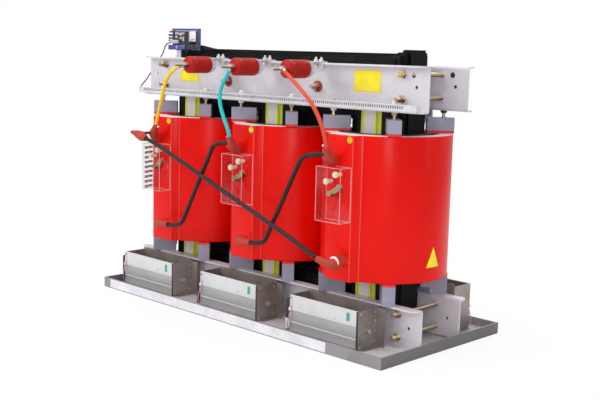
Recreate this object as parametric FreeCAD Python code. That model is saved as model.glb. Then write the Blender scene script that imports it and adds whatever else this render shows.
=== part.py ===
import FreeCAD, Part
import math
import os

from FreeCAD import Vector

# Dry-type three-phase transformer with cast resin coils and cross-flow fans.
# Millimetres. X runs along the three phases, the high-voltage side faces -Y, Z is up.
# The origin is at the middle of the base frame, on the floor.

# Phases
PHASES = {"a": -1, "b": 0, "c": 1}
COIL_SPACING = 28.0

# Base frame and floor plate
BASE_BEYOND_CLAMP = 15.0
RIM_HEIGHT = 44.0
ANGLE_LEG = 60.0
ANGLE_THICKNESS = 6.0
CROSS_BAR_WIDTH = 60.0
FLOOR_THICKNESS = 5.0

# Clamping channels
CLAMP_HEIGHT = 160.0
UPPER_CLAMP_HEIGHT = 167.0
CLAMP_THICKNESS = 6.0
CLAMP_BEND = 12.0
CLAMP_CORNER = 30.0

# Core of stacked packets, each packet a step of a circle
CORE_RADIUS = 137.5
PACKET_REACH = (44.0, 66.0, 84.0, 98.0)
LOWER_YOKE_TRIM = 25.0
UPPER_YOKE_TRIM = 4.0
YOKE_FLOOR_GAP = 2.0
YOKE_BELOW_CLAMP = 44.0
EAR_WIDTH = 45.0
EAR_HEIGHT = 14.0
EAR_SLOPE = 12.0

# Tie plates with insulation on both faces
TIE_PLATE_WIDTH = 60.0
TIE_PLATE_THICKNESS = 8.0
TIE_PLATE_INSET = 18.0
INSULATION_WIDTH = 98.0
INSULATION_THICKNESS = 4.0

# Coils
COIL_HEIGHT = 539.0
COIL_CHAMFER = 5.0
LV_CORE_GAP = 4.5
LV_WALL = 30.0
COIL_DUCT = 20.0
HV_WALL = 54.0
BOSS_REACH = 24.0
BOSS_FACE_WIDTH = 122.0
BOSS_ROOT_WIDTH = 154.0

# Terminals moulded on the high-voltage coil
TERMINAL_RADIUS = 15.0
UPPER_TERMINAL_X = -25.0
UPPER_TERMINAL_DROP = 100.0
UPPER_TERMINAL_LENGTH = 30.0
LOWER_TERMINAL_X = 41.0
LOWER_TERMINAL_RISE = 77.0
LOWER_TERMINAL_LENGTH = 42.0

# Tap board on the flat face of each coil
TAP_LEFT = -27.0
TAP_RIGHT = 17.0
TAP_DROP = 171.0
TAP_ROW = 47.0
TAP_STAGGER = 28.0
TAP_ROWS = 3
TAP_BOSS_RADIUS = 12.0
TAP_BOSS_HEIGHT = 10.0
TAP_BOLT_RADIUS = 6.0
TAP_BOLT_LENGTH = 34.0
TAP_HEAD_RADIUS = 10.0
TAP_HEAD_LENGTH = 10.0
TAP_LINK_WIDTH = 20.0
TAP_LINK_THICKNESS = 5.0
COVER_WIDTH = 120.0
COVER_ABOVE_TAPS = 27.0
COVER_BELOW_TAPS = 51.0
COVER_DEPTH = 60.0
COVER_WALL = 3.0

# Coil supports: blocks on the diagonals, pads against the coils, jack bolts above
BLOCK_WIDTH = 48.0
BLOCK_INSIDE_COIL = 3.0
BLOCK_BEYOND_COIL = 2.0
LOWER_BLOCK_HEIGHT = 73.0
UPPER_BLOCK_HEIGHT = 49.0
BLOCK_TONGUE = 48.0
BLOCK_WEB_GAP = 2.0
PAD_THICKNESS = 10.0
JACK_RADIUS = 6.0
JACK_GAP = 27.0
JACK_INSIDE_COIL = 37.0
JACK_NUT_FLATS = 19.0
JACK_NUT_HEIGHT = 10.0
JACK_FOOT_RADIUS = 9.0
JACK_FOOT_HEIGHT = 3.0
JACK_ABOVE_FLANGE = 27.0
HOLE_CLEARANCE = 0.5

# Threaded rods across the clamps
ROD_RADIUS = 8.0
ROD_END = 40.0
NUT_FLATS = 26.0
NUT_HEIGHT = 14.0
UPPER_ROD_BEYOND_CORE = 22.5
LOWER_ROD_BEYOND_CORE = 45.5
ROD_BELOW_TOP = 33.0
LOWER_ROD_HEIGHT = 40.0
UPPER_ROD_HEIGHT = 47.0
LOWER_YOKE_ROD_HEIGHT = 68.0
UPPER_YOKE_ROD_HEIGHT = 75.0
WASHER_RADIUS = 22.0
WASHER_THICKNESS = 6.0

# Lifting and earthing holes in the webs, outside the end rods, and the webs' ends
LIFT_HOLE_OFFSET = 45.0
LIFT_HOLE_RADIUS = 11.0
EARTH_HOLE_RADIUS = 7.0
UPPER_EARTH_HOLE_OFFSET = 60.0
UPPER_EARTH_HOLE_DROP = 76.0
LOWER_EARTH_HOLE_OFFSET = 46.0
LOWER_EARTH_HOLE_HEIGHT = 79.0
UPPER_CLAMP_END = 117.0
LOWER_CLAMP_END = 104.5

# High-voltage post insulators on angle brackets
INSULATOR_PITCH = 284.0
INSULATOR_RADIUS = 35.0
INSULATOR_GROOVE = 3.0
INSULATOR_LENGTH = 110.0
INSULATOR_RIBS = 7
INSULATOR_DROP = 30.0
BRACKET_WIDTH = 66.0
BRACKET_THICKNESS = 5.0
BRACKET_CUP_RADIUS = 29.0
BRACKET_CUP_DEPTH = 15.0
BRACKET_REACH = 50.0
BRACKET_BACK = 130.0
BRACKET_BOLT_RADIUS = 5.0
BRACKET_BOLT_SPACING = 28.0
BRACKET_BOLT_INSET = 22.0
BRACKET_BOLT_END = 8.0
BRACKET_NUT_FLATS = 16.0
BRACKET_NUT_HEIGHT = 8.0
STUD_RADIUS = 6.0
STUD_LENGTH = 64.0
STUD_NUT_FLATS = 19.0
STUD_NUT_HEIGHT = 10.0
LUG_RADIUS = 11.0
LUG_THICKNESS = 5.0
BARREL_RADIUS = 8.0
BARREL_LENGTHS = (34.0, 16.0, 16.0)
LUG_DIRECTIONS = ((-0.985, 0.0, -0.17), (-0.5, 0.0, -0.866), (0.80, 0.0, -0.60))

# Leads and delta links
LEAD_DIAMETER = 15.0
LINK_DIAMETER = 17.0
LINK_BEND = 38.0
CABLE_DIAMETER = 5.0
FAN_LEAD_DIAMETER = 4.0

# Wiring duct on the lower flange of the upper front clamp
DUCT_DEPTH = 24.0
DUCT_HEIGHT = 24.0
DUCT_WALL = 2.0
DUCT_GAP = 6.0
DUCT_ON_FLANGE = 1.245

# Temperature controller on the upper front clamp
CONTROLLER_FROM_END = 254.0
CONTROLLER_WIDTH = 140.0
CONTROLLER_DEPTH = 20.0
CONTROLLER_OVER_FLANGE = 22.0
CONTROLLER_HEIGHT = 92.0
CONTROLLER_LIFT = 34.0
CONTROLLER_SHEET = 3.0
CONTROLLER_POST = 8.0
CONTROLLER_POST_INSET = 50.0
CONTROLLER_POST_REACH = 6.0
MODULE_WIDTH = 84.0
MODULE_HEIGHT = 54.0
MODULE_DEPTH = 44.0
MODULE_INSET = 8.0
MODULE_BASE = 18.0
PLUG_WIDTH = 16.0
PLUG_HEIGHT = 22.0
PLUG_DEPTH = 12.0
PLUG_LEVEL = 22.0

# Low-voltage bars on the rear side
BAR_WIDTH = 50.0
BAR_THICKNESS = 8.0
BAR_OFFSET = -70.0
BAR_LEVEL = 58.0
BAR_TERMINAL_Y = 224.0
BAR_TERMINAL_RISE = 150.0
BAR_HOLE_RADIUS = 6.5
BAR_HOLE_SPACING = 32.0
NEUTRAL_LEVEL = 34.0
NEUTRAL_TO_BLOCK = 2.167
STANDOFF_RADIUS = 19.0
STANDOFF_DROP = 100.0

# Cross-flow fans, three on each side
FAN_SPREAD = 15.0
FAN_TO_BASE_END = 17.0
REAR_FAN_CENTRE = 12.0
FAN_LENGTH = 347.0
FAN_TO_CLAMP = 4.0
FAN_TO_BLOCK = 3.667
FAN_TO_RIM = 54.0
FAN_FRONT_GAP = 7.0
FAN_TOP_GAP = 4.0
REAR_FAN_HEIGHT = 183.0
FAN_BACK_RISE = 9.0
FAN_SHEET = 2.0
FAN_LIP = 8.0
FAN_LEDGE = 6.0
FAN_RIB_HEIGHTS = (40.0, 90.0)
FAN_RIB = 2.5
FAN_FOOT = 22.0
FAN_WING = 38.0
VOLUTE_GROWTH = 16.0
ROTOR_RADIUS = 42.0
ROTOR_RUNNING_GAP = 5.0
ROTOR_BLADES = 18
ROTOR_BLADE_DEPTH = 10.0
ROTOR_BLADE_THICKNESS = 1.2
ROTOR_DISC = 2.5
ROTOR_END_GAP = 4.0
SHAFT_RADIUS = 5.0
BEARING_RADIUS = 12.5
BEARING_LENGTH = 9.0
SHAFT_CLEARANCE = 0.05
MOTOR_RADIUS = 34.0
MOTOR_LENGTH = 46.0
MOTOR_BORE_DEPTH = 14.0

# Radii and places along the core that follow from the core and the coils' walls
LV_INNER_RADIUS = CORE_RADIUS + LV_CORE_GAP
LV_OUTER_RADIUS = LV_INNER_RADIUS + LV_WALL
HV_INNER_RADIUS = LV_OUTER_RADIUS + COIL_DUCT
HV_OUTER_RADIUS = HV_INNER_RADIUS + HV_WALL
BOSS_FACE = HV_OUTER_RADIUS + BOSS_REACH
PHASE_PITCH = 2 * HV_OUTER_RADIUS + COIL_SPACING
BLOCK_INNER_RADIUS = LV_INNER_RADIUS + BLOCK_INSIDE_COIL
BLOCK_OUTER_RADIUS = HV_OUTER_RADIUS + BLOCK_BEYOND_COIL
JACK_OFFSET = (HV_OUTER_RADIUS - JACK_INSIDE_COIL) * math.sqrt(0.5)
UPPER_ROD_X = PHASE_PITCH + CORE_RADIUS + UPPER_ROD_BEYOND_CORE
LOWER_ROD_X = PHASE_PITCH + CORE_RADIUS + LOWER_ROD_BEYOND_CORE
UPPER_CLAMP_LENGTH = 2 * (UPPER_ROD_X + UPPER_CLAMP_END)
LOWER_CLAMP_LENGTH = 2 * (LOWER_ROD_X + LOWER_CLAMP_END)
BASE_LENGTH = LOWER_CLAMP_LENGTH + 2 * BASE_BEYOND_CLAMP
CONTROLLER_X = -UPPER_CLAMP_LENGTH / 2 + CONTROLLER_FROM_END

# Heights that follow from the stack on the floor plate
FLOOR_TOP = ANGLE_THICKNESS + FLOOR_THICKNESS
LOWER_CLAMP_TOP = FLOOR_TOP + CLAMP_HEIGHT
LOWER_PAD_BOTTOM = LOWER_CLAMP_TOP + LOWER_BLOCK_HEIGHT
COIL_BOTTOM = LOWER_PAD_BOTTOM + PAD_THICKNESS
COIL_TOP = COIL_BOTTOM + COIL_HEIGHT
UPPER_BLOCK_BOTTOM = COIL_TOP + PAD_THICKNESS
UPPER_BLOCK_TOP = UPPER_BLOCK_BOTTOM + UPPER_BLOCK_HEIGHT
UPPER_CLAMP_BOTTOM = UPPER_BLOCK_TOP + JACK_GAP
UPPER_CLAMP_TOP = UPPER_CLAMP_BOTTOM + UPPER_CLAMP_HEIGHT
LOWER_ROD_LEVELS = (FLOOR_TOP + LOWER_ROD_HEIGHT, LOWER_CLAMP_TOP - ROD_BELOW_TOP)
UPPER_ROD_LEVELS = (UPPER_CLAMP_BOTTOM + UPPER_ROD_HEIGHT, UPPER_CLAMP_TOP - ROD_BELOW_TOP)
YOKE_ROD_LEVELS = (FLOOR_TOP + LOWER_YOKE_ROD_HEIGHT, UPPER_CLAMP_BOTTOM + UPPER_YOKE_ROD_HEIGHT)
UPPER_TERMINAL_Z = COIL_TOP - UPPER_TERMINAL_DROP
LOWER_TERMINAL_Z = COIL_BOTTOM + LOWER_TERMINAL_RISE
TAP_TOP = COIL_TOP - TAP_DROP
COVER_TOP = TAP_TOP + TAP_STAGGER + COVER_ABOVE_TAPS
COVER_BOTTOM = TAP_TOP - (TAP_ROWS - 1) * TAP_ROW - COVER_BELOW_TAPS

# Distances from the middle plane that follow from the packet stack
STACK_FACE = PACKET_REACH[-1]
TIE_PLATE_FACE = STACK_FACE + INSULATION_THICKNESS
WEB_INNER = TIE_PLATE_FACE + TIE_PLATE_THICKNESS + INSULATION_THICKNESS
WEB_OUTER = WEB_INNER + CLAMP_THICKNESS
DUCT_BACK = JACK_OFFSET + JACK_NUT_FLATS / math.sqrt(3) + DUCT_GAP
FLANGE_TIP = DUCT_BACK + DUCT_ON_FLANGE
BRACKET_FRONT = FLANGE_TIP + BRACKET_REACH

# Fans between the clamps and the base frame's rim, and the frame's width round them
FAN_PITCH = PHASE_PITCH + FAN_SPREAD
FAN_WRAP = ROTOR_RADIUS + ROTOR_RUNNING_GAP + FAN_SHEET
FAN_DEPTH = 2 * FAN_WRAP + FAN_FRONT_GAP
FAN_FACE = FLANGE_TIP + FAN_TO_CLAMP + FAN_DEPTH
FAN_HEIGHT = CLAMP_HEIGHT - FAN_BACK_RISE - FAN_TOP_GAP
FAN_END = FAN_LENGTH / 2 + FAN_FOOT
FAN_CENTRE = FAN_PITCH - BASE_LENGTH / 2 + ANGLE_THICKNESS + FAN_TO_BASE_END + FAN_END
BLOCK_CORNER = (BLOCK_OUTER_RADIUS + BLOCK_WIDTH / 2) * math.sqrt(0.5)
NEUTRAL_Y = BLOCK_CORNER + NEUTRAL_TO_BLOCK + BAR_WIDTH / 2
REAR_FAN_SHIFT = BLOCK_CORNER + FAN_TO_BLOCK - FLANGE_TIP - FAN_TO_CLAMP
BASE_WIDTH = 2 * (FAN_FACE + REAR_FAN_SHIFT + FAN_TO_RIM + ANGLE_THICKNESS)


def box(low, high):
    """Block between two opposite corners."""
    size = Vector(*high) - Vector(*low)
    return Part.makeBox(size.x, size.y, size.z, Vector(*low))


def rod(radius, start, end):
    """Round bar from one point to another."""
    axis = Vector(*end) - Vector(*start)
    return Part.makeCylinder(radius, axis.Length, Vector(*start), axis)


def prism(points, travel):
    """Flat outline pushed along a vector."""
    outline = [Vector(*point) for point in points]
    return Part.Face(Part.makePolygon(outline + outline[:1])).extrude(Vector(*travel))


def nut(flats, start, end):
    """Hexagon nut or bolt head along a line from one point to another."""
    origin = Vector(*start)
    axis = Vector(*end) - origin
    corner = flats / math.sqrt(3)
    ring = [Vector(corner * math.cos(k * math.pi / 3), corner * math.sin(k * math.pi / 3), 0)
            for k in range(6)]
    solid = Part.Face(Part.makePolygon(ring + ring[:1])).extrude(Vector(0, 0, axis.Length))
    solid.Placement = FreeCAD.Placement(origin, FreeCAD.Rotation(Vector(0, 0, 1), axis))
    return solid


def fuse(shapes):
    """One solid from touching shapes."""
    return shapes[0].multiFuse(shapes[1:]).removeSplitter()


def rear(shape):
    """Copy of a front piece on the rear side."""
    return shape.mirror(Vector(0, 0, 0), Vector(0, 1, 0))


def moved(shape, x=0.0, y=0.0, z=0.0):
    """Copy of a shape, shifted."""
    return shape.translated(Vector(x, y, z))


def save(name, *solids):
    """Write one node from one or more solids."""
    shape = solids[0] if len(solids) == 1 else Part.makeCompound(list(solids))
    shape.exportStep("parts/" + name + ".step")


def phase_x(phase):
    """Middle of a phase along X."""
    return PHASES[phase] * PHASE_PITCH


def base():
    """Welded angle frame with a cross bar, and a floor plate lying on both."""
    half_x = BASE_LENGTH / 2
    half_y = BASE_WIDTH / 2
    inner_x = half_x - ANGLE_THICKNESS
    inner_y = half_y - ANGLE_THICKNESS
    frame = box((-half_x, -half_y, 0), (half_x, half_y, RIM_HEIGHT))
    frame = frame.cut(box((-inner_x, -inner_y, ANGLE_THICKNESS), (inner_x, inner_y, RIM_HEIGHT)))
    gap_x = half_x - ANGLE_LEG
    gap_y = half_y - ANGLE_LEG
    frame = frame.cut(box((-gap_x, -gap_y, 0), (gap_x, gap_y, ANGLE_THICKNESS)))
    half_bar = CROSS_BAR_WIDTH / 2
    bar = box((-half_bar, -gap_y, 0), (half_bar, gap_y, ANGLE_THICKNESS))
    frame = frame.fuse(bar).removeSplitter()
    floor = box((-inner_x, -inner_y, ANGLE_THICKNESS), (inner_x, inner_y, FLOOR_TOP))
    return frame, floor


def channel(length, bottom, top):
    """Folded channel on the front side: web against the core, flanges outwards."""
    half = length / 2
    solid = box((-half, -FLANGE_TIP, bottom), (half, -WEB_INNER, top))
    recess_low = (-half, -FLANGE_TIP, bottom + CLAMP_THICKNESS)
    solid = solid.cut(box(recess_low, (half, -WEB_OUTER, top - CLAMP_THICKNESS)))
    outer = []
    inner = []
    corners = []
    for edge in solid.Edges:
        middle = edge.CenterOfMass
        along_x = edge.Length > length - 1
        if along_x and abs(middle.y + WEB_INNER) < 0.01:
            outer.append(edge)
        elif along_x and abs(middle.y + WEB_OUTER) < 0.01:
            inner.append(edge)
        elif abs(middle.y + FLANGE_TIP) < 0.01 and edge.Length < CLAMP_THICKNESS + 0.01:
            corners.append(edge)
    solid = solid.makeFillet(CLAMP_CORNER, corners)
    outer = [edge for edge in solid.Edges
             if edge.Length > length - 1 and abs(edge.CenterOfMass.y + WEB_INNER) < 0.01]
    solid = solid.makeFillet(CLAMP_BEND, outer)
    inner = [edge for edge in solid.Edges
             if edge.Length > length - 1 and abs(edge.CenterOfMass.y + WEB_OUTER) < 0.01]
    return solid.makeFillet(CLAMP_BEND - CLAMP_THICKNESS, inner)


def web_hole(radius, x, z):
    """Drill through the front web."""
    return rod(radius, (x, -WEB_OUTER - 1, z), (x, -WEB_INNER + 1, z))


def jack_places():
    """Middle of each front jack bolt, two for each phase."""
    places = []
    for phase in PHASES:
        for side in (-1, 1):
            places.append(phase_x(phase) + side * JACK_OFFSET)
    return places


def clamps():
    """Four channels with their holes."""
    rod_hole = ROD_RADIUS + HOLE_CLEARANCE
    lower = channel(LOWER_CLAMP_LENGTH, FLOOR_TOP, LOWER_CLAMP_TOP)
    upper = channel(UPPER_CLAMP_LENGTH, UPPER_CLAMP_BOTTOM, UPPER_CLAMP_TOP)
    lower_holes = []
    upper_holes = []
    for side in (-1, 1):
        lower_holes += [web_hole(rod_hole, side * LOWER_ROD_X, z) for z in LOWER_ROD_LEVELS]
        upper_holes += [web_hole(rod_hole, side * UPPER_ROD_X, z) for z in UPPER_ROD_LEVELS]
        lower_holes.append(web_hole(rod_hole, side * PHASE_PITCH / 2, YOKE_ROD_LEVELS[0]))
        upper_holes.append(web_hole(rod_hole, side * PHASE_PITCH / 2, YOKE_ROD_LEVELS[1]))
        lower_x = side * (LOWER_ROD_X + LOWER_EARTH_HOLE_OFFSET)
        lower_z = FLOOR_TOP + LOWER_EARTH_HOLE_HEIGHT
        lower_holes.append(web_hole(EARTH_HOLE_RADIUS, lower_x, lower_z))
        upper_x = side * (UPPER_ROD_X + UPPER_EARTH_HOLE_OFFSET)
        upper_z = UPPER_CLAMP_TOP - UPPER_EARTH_HOLE_DROP
        upper_holes.append(web_hole(EARTH_HOLE_RADIUS, upper_x, upper_z))
        lift_z = UPPER_CLAMP_TOP - ROD_BELOW_TOP
        upper_holes.append(web_hole(LIFT_HOLE_RADIUS, side * (UPPER_ROD_X + LIFT_HOLE_OFFSET), lift_z))
    for x in jack_places():
        low = (x, -JACK_OFFSET, UPPER_CLAMP_BOTTOM - 1)
        high = (x, -JACK_OFFSET, UPPER_CLAMP_BOTTOM + CLAMP_THICKNESS + 1)
        upper_holes.append(rod(JACK_RADIUS + HOLE_CLEARANCE, low, high))
    lower = lower.cut(lower_holes)
    upper = upper.cut(upper_holes)
    bracket_holes = []
    for x in insulator_places():
        for bolt_x in bracket_bolt_places(x):
            low = (bolt_x, bracket_bolt_y(), UPPER_CLAMP_TOP - CLAMP_THICKNESS - 1)
            high = (bolt_x, bracket_bolt_y(), UPPER_CLAMP_TOP + 1)
            bracket_holes.append(rod(BRACKET_BOLT_RADIUS + HOLE_CLEARANCE, low, high))
    return lower, upper, upper.cut(bracket_holes)


def packets():
    """Start and reach from the middle plane and limb half width of each packet."""
    start = 0.0
    steps = []
    for reach in PACKET_REACH:
        steps.append((start, reach, math.sqrt(CORE_RADIUS ** 2 - reach ** 2)))
        start = reach
    return steps


def packet_pair(outline, start, reach):
    """One packet outline in XZ, stacked on both sides of the middle plane."""
    points = [(x, 0, z) for x, z in outline]
    front = moved(prism(points, (0, -(reach - start), 0)), y=-start)
    return [front, rear(front)]


def core():
    """Mitred core: two yokes and three limbs, stepped to the circle of the limbs."""
    widest = packets()[0][2]
    low = FLOOR_TOP + YOKE_FLOOR_GAP + widest - LOWER_YOKE_TRIM
    high = UPPER_CLAMP_BOTTOM - YOKE_BELOW_CLAMP + widest - UPPER_YOKE_TRIM
    pieces = {"core_lower_yoke": [], "core_upper_yoke": [],
              "core_limb_a": [], "core_limb_b": [], "core_limb_c": []}
    for start, reach, limb in packets():
        edge = PHASE_PITCH + limb
        window = PHASE_PITCH - limb
        half_low = limb - LOWER_YOKE_TRIM
        half_high = limb - UPPER_YOKE_TRIM
        for name, middle, half, up in (("core_lower_yoke", low, half_low, -1),
                                       ("core_upper_yoke", high, half_high, 1)):
            outside = middle + up * half
            inside = middle - up * half
            tip = inside + up * min(limb, 1.6 * half)
            outline = [(-edge + EAR_WIDTH, outside), (edge - EAR_WIDTH, outside), (window, inside),
                       (limb, inside), (0, tip), (-limb, inside), (-window, inside)]
            pieces[name] += packet_pair(outline, start, reach)
        bottom = low + half_low
        top = high - half_high
        foot = bottom - min(limb, 1.6 * half_low)
        peak = top + min(limb, 1.6 * half_high)
        outline = [(-limb, bottom), (0, foot), (limb, bottom), (limb, top), (0, peak), (-limb, top)]
        pieces["core_limb_b"] += packet_pair(outline, start, reach)
        floor_z = low - half_low
        roof_z = high + half_high
        ear_z = roof_z + EAR_HEIGHT
        ear_x = edge - EAR_WIDTH
        for name, side in (("core_limb_a", -1), ("core_limb_c", 1)):
            outline = [(side * window, bottom), (side * ear_x, floor_z), (side * edge, floor_z),
                       (side * edge, ear_z), (side * (ear_x + EAR_SLOPE), ear_z),
                       (side * ear_x, roof_z), (side * window, top)]
            pieces[name] += packet_pair(outline, start, reach)
    return {name: fuse(solids) for name, solids in pieces.items()}


def tie_plates():
    """Flat ties along the front of the limbs, with insulation strips and end shims."""
    plates = []
    insulation = []
    bottom = FLOOR_TOP + TIE_PLATE_INSET
    top = UPPER_CLAMP_TOP - TIE_PLATE_INSET
    outer = WEB_INNER - INSULATION_THICKNESS
    for phase in PHASES:
        x = phase_x(phase)
        half = TIE_PLATE_WIDTH / 2
        wide = INSULATION_WIDTH / 2
        plate = box((x - half, -outer, bottom), (x + half, -TIE_PLATE_FACE, top))
        strip = box((x - wide, -TIE_PLATE_FACE, bottom), (x + wide, -STACK_FACE, top))
        low_shim = box((x - half, -WEB_INNER, bottom), (x + half, -outer, LOWER_CLAMP_TOP))
        high_shim = box((x - half, -WEB_INNER, UPPER_CLAMP_BOTTOM), (x + half, -outer, top))
        plates += [plate, rear(plate)]
        for solid in (strip, low_shim, high_shim):
            insulation += [solid, rear(solid)]
    return plates, insulation


def boss_depth(x):
    """Distance of the coil's round wall from the middle plane at x."""
    return math.sqrt(HV_OUTER_RADIUS ** 2 - x ** 2)


def tap_places():
    """Tap bosses on the flat face: two columns, the right one raised."""
    left = [(TAP_LEFT, TAP_TOP - row * TAP_ROW) for row in range(TAP_ROWS)]
    right = [(TAP_RIGHT, TAP_TOP + TAP_STAGGER - row * TAP_ROW) for row in range(TAP_ROWS)]
    return left, right


def hv_coil():
    """Cast resin coil with a flat terminal face, terminals and tap bosses."""
    outer = rod(HV_OUTER_RADIUS, (0, 0, COIL_BOTTOM), (0, 0, COIL_TOP))
    face = BOSS_FACE_WIDTH / 2
    root = BOSS_ROOT_WIDTH / 2
    outline = [(-root, -boss_depth(root), COIL_BOTTOM), (-face, -BOSS_FACE, COIL_BOTTOM),
               (face, -BOSS_FACE, COIL_BOTTOM), (root, -boss_depth(root), COIL_BOTTOM),
               (root, -HV_INNER_RADIUS, COIL_BOTTOM), (-root, -HV_INNER_RADIUS, COIL_BOTTOM)]
    body = fuse([outer, prism(outline, (0, 0, COIL_HEIGHT))])
    rims = [edge for edge in body.Edges
            if abs(edge.BoundBox.ZLength) < 0.01 and edge.Length > 3 * HV_OUTER_RADIUS]
    body = body.makeChamfer(COIL_CHAMFER, rims)
    body = body.cut(rod(HV_INNER_RADIUS, (0, 0, COIL_BOTTOM - 1), (0, 0, COIL_TOP + 1)))
    knobs = []
    for x, z, length in ((UPPER_TERMINAL_X, UPPER_TERMINAL_Z, UPPER_TERMINAL_LENGTH),
                         (LOWER_TERMINAL_X, LOWER_TERMINAL_Z, LOWER_TERMINAL_LENGTH)):
        knobs.append(rod(TERMINAL_RADIUS, (x, -BOSS_FACE + 4, z), (x, -BOSS_FACE - length, z)))
    for x, z in tap_places()[0] + tap_places()[1]:
        end = (x, -BOSS_FACE - TAP_BOSS_HEIGHT, z)
        knobs.append(rod(TAP_BOSS_RADIUS, (x, -BOSS_FACE + 4, z), end))
    return fuse([body] + knobs)


def lv_coil():
    """Foil coil inside the high-voltage coil."""
    solid = rod(LV_OUTER_RADIUS, (0, 0, COIL_BOTTOM), (0, 0, COIL_TOP))
    return solid.cut(rod(LV_INNER_RADIUS, (0, 0, COIL_BOTTOM - 1), (0, 0, COIL_TOP + 1)))


def tap_board():
    """Nylon tap bolts, the brass link and the clear cover of one coil."""
    left, right = tap_places()
    seat = -BOSS_FACE - TAP_BOSS_HEIGHT
    bolts = []
    for x, z in (left[0], right[0]):
        neck = rod(TAP_BOLT_RADIUS, (x, seat, z), (x, seat - TAP_BOLT_LENGTH, z))
        head_start = (x, seat - TAP_BOLT_LENGTH + TAP_HEAD_LENGTH, z)
        head = rod(TAP_HEAD_RADIUS, head_start, (x, seat - TAP_BOLT_LENGTH, z))
        bolts.append(fuse([neck, head]))
    low = Vector(left[1][0], seat, left[1][1])
    high = Vector(right[1][0], seat, right[1][1])
    along = (high - low).normalize()
    across = Vector(-along.z, 0, along.x) * (TAP_LINK_WIDTH / 2)
    ends = along * TAP_LINK_WIDTH * 0.5
    corners = [low - ends - across, high + ends - across, high + ends + across, low - ends + across]
    bar = Part.Face(Part.makePolygon(corners + corners[:1])).extrude(Vector(0, -TAP_LINK_THICKNESS, 0))
    hexes = []
    for end in (low, high):
        start = (end.x, seat - TAP_LINK_THICKNESS, end.z)
        hexes.append(nut(STUD_NUT_FLATS, start, (end.x, start[1] - STUD_NUT_HEIGHT, end.z)))
    link = fuse([bar] + hexes)
    half = COVER_WIDTH / 2
    front = -BOSS_FACE - COVER_DEPTH
    shell = box((-half, front, COVER_BOTTOM), (half, -BOSS_FACE, COVER_TOP))
    hollow = box((-half + COVER_WALL, front + COVER_WALL, COVER_BOTTOM + COVER_WALL),
                 (half - COVER_WALL, -BOSS_FACE, COVER_TOP - COVER_WALL))
    return bolts, link, shell.cut(hollow)


def diagonal(shape, side):
    """Turn a piece that points along -Y onto a diagonal of the coil."""
    return shape.rotated(Vector(0, 0, 0), Vector(0, 0, 1), side * 45)


def radial_block(bottom, top):
    """Plank that points along -Y from the inner to the outer radius."""
    half = BLOCK_WIDTH / 2
    return box((-half, -BLOCK_OUTER_RADIUS, bottom), (half, -BLOCK_INNER_RADIUS, top))


def supports():
    """Blocks and pads under and over every coil, four of each."""
    lower = []
    upper = []
    pads = []
    reach = BLOCK_OUTER_RADIUS + BLOCK_WIDTH
    tongue_bottom = LOWER_PAD_BOTTOM - BLOCK_TONGUE
    behind_web = WEB_INNER - BLOCK_WEB_GAP
    notch = box((-reach, -behind_web, LOWER_CLAMP_TOP - 1), (reach, 0, tongue_bottom))
    for side in (-1, 1):
        low = diagonal(radial_block(LOWER_CLAMP_TOP, LOWER_PAD_BOTTOM), side).cut(notch)
        high = diagonal(radial_block(UPPER_BLOCK_BOTTOM, UPPER_BLOCK_TOP), side)
        low_pad = diagonal(radial_block(LOWER_PAD_BOTTOM, COIL_BOTTOM), side)
        high_pad = diagonal(radial_block(COIL_TOP, UPPER_BLOCK_BOTTOM), side)
        for phase in PHASES:
            x = phase_x(phase)
            for group, shape in ((lower, low), (upper, high), (pads, low_pad), (pads, high_pad)):
                group += [moved(shape, x=x), moved(rear(shape), x=x)]
    return lower, upper, pads


def jack_bolts():
    """Bolts through the upper clamps' lower flanges, pressing the blocks down."""
    bolts = []
    nut_top = UPPER_CLAMP_BOTTOM
    head_bottom = UPPER_CLAMP_BOTTOM + CLAMP_THICKNESS
    for x in jack_places():
        place = (x, -JACK_OFFSET)
        cap_bottom = head_bottom + JACK_NUT_HEIGHT
        shank = rod(JACK_RADIUS, place + (UPPER_BLOCK_TOP,), place + (cap_bottom,))
        foot_top = UPPER_BLOCK_TOP + JACK_FOOT_HEIGHT
        foot = rod(JACK_FOOT_RADIUS, place + (UPPER_BLOCK_TOP,), place + (foot_top,))
        lock = nut(JACK_NUT_FLATS, place + (nut_top - JACK_NUT_HEIGHT,), place + (nut_top,))
        head = nut(JACK_NUT_FLATS, place + (head_bottom,), place + (cap_bottom,))
        cap = rod(JACK_RADIUS + 1, place + (cap_bottom,), place + (head_bottom + JACK_ABOVE_FLANGE,))
        bolt = fuse([shank, foot, lock, head, cap])
        bolts += [bolt, rear(bolt)]
    return bolts


def through_rod(x, z, seat):
    """Threaded rod across both clamps with a nut against each seat."""
    end = WEB_OUTER + ROD_END
    pieces = [rod(ROD_RADIUS, (x, -end, z), (x, end, z))]
    for side in (-1, 1):
        pieces.append(nut(NUT_FLATS, (x, side * seat, z), (x, side * (seat + NUT_HEIGHT), z)))
    return fuse(pieces)


def clamp_rods():
    """End rods, and yoke rods with insulating washers."""
    rods = []
    washers = []
    for side in (-1, 1):
        for low, high in zip(LOWER_ROD_LEVELS, UPPER_ROD_LEVELS):
            rods.append(through_rod(side * LOWER_ROD_X, low, WEB_OUTER))
            rods.append(through_rod(side * UPPER_ROD_X, high, WEB_OUTER))
        x = side * PHASE_PITCH / 2
        for z in YOKE_ROD_LEVELS:
            rods.append(through_rod(x, z, WEB_OUTER + WASHER_THICKNESS))
            outer = WEB_OUTER + WASHER_THICKNESS
            washer = rod(WASHER_RADIUS, (x, -outer, z), (x, -WEB_OUTER, z))
            washer = washer.cut(rod(ROD_RADIUS, (x, -outer - 1, z), (x, -WEB_OUTER + 1, z)))
            washers += [washer, rear(washer)]
    return rods, washers


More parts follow.
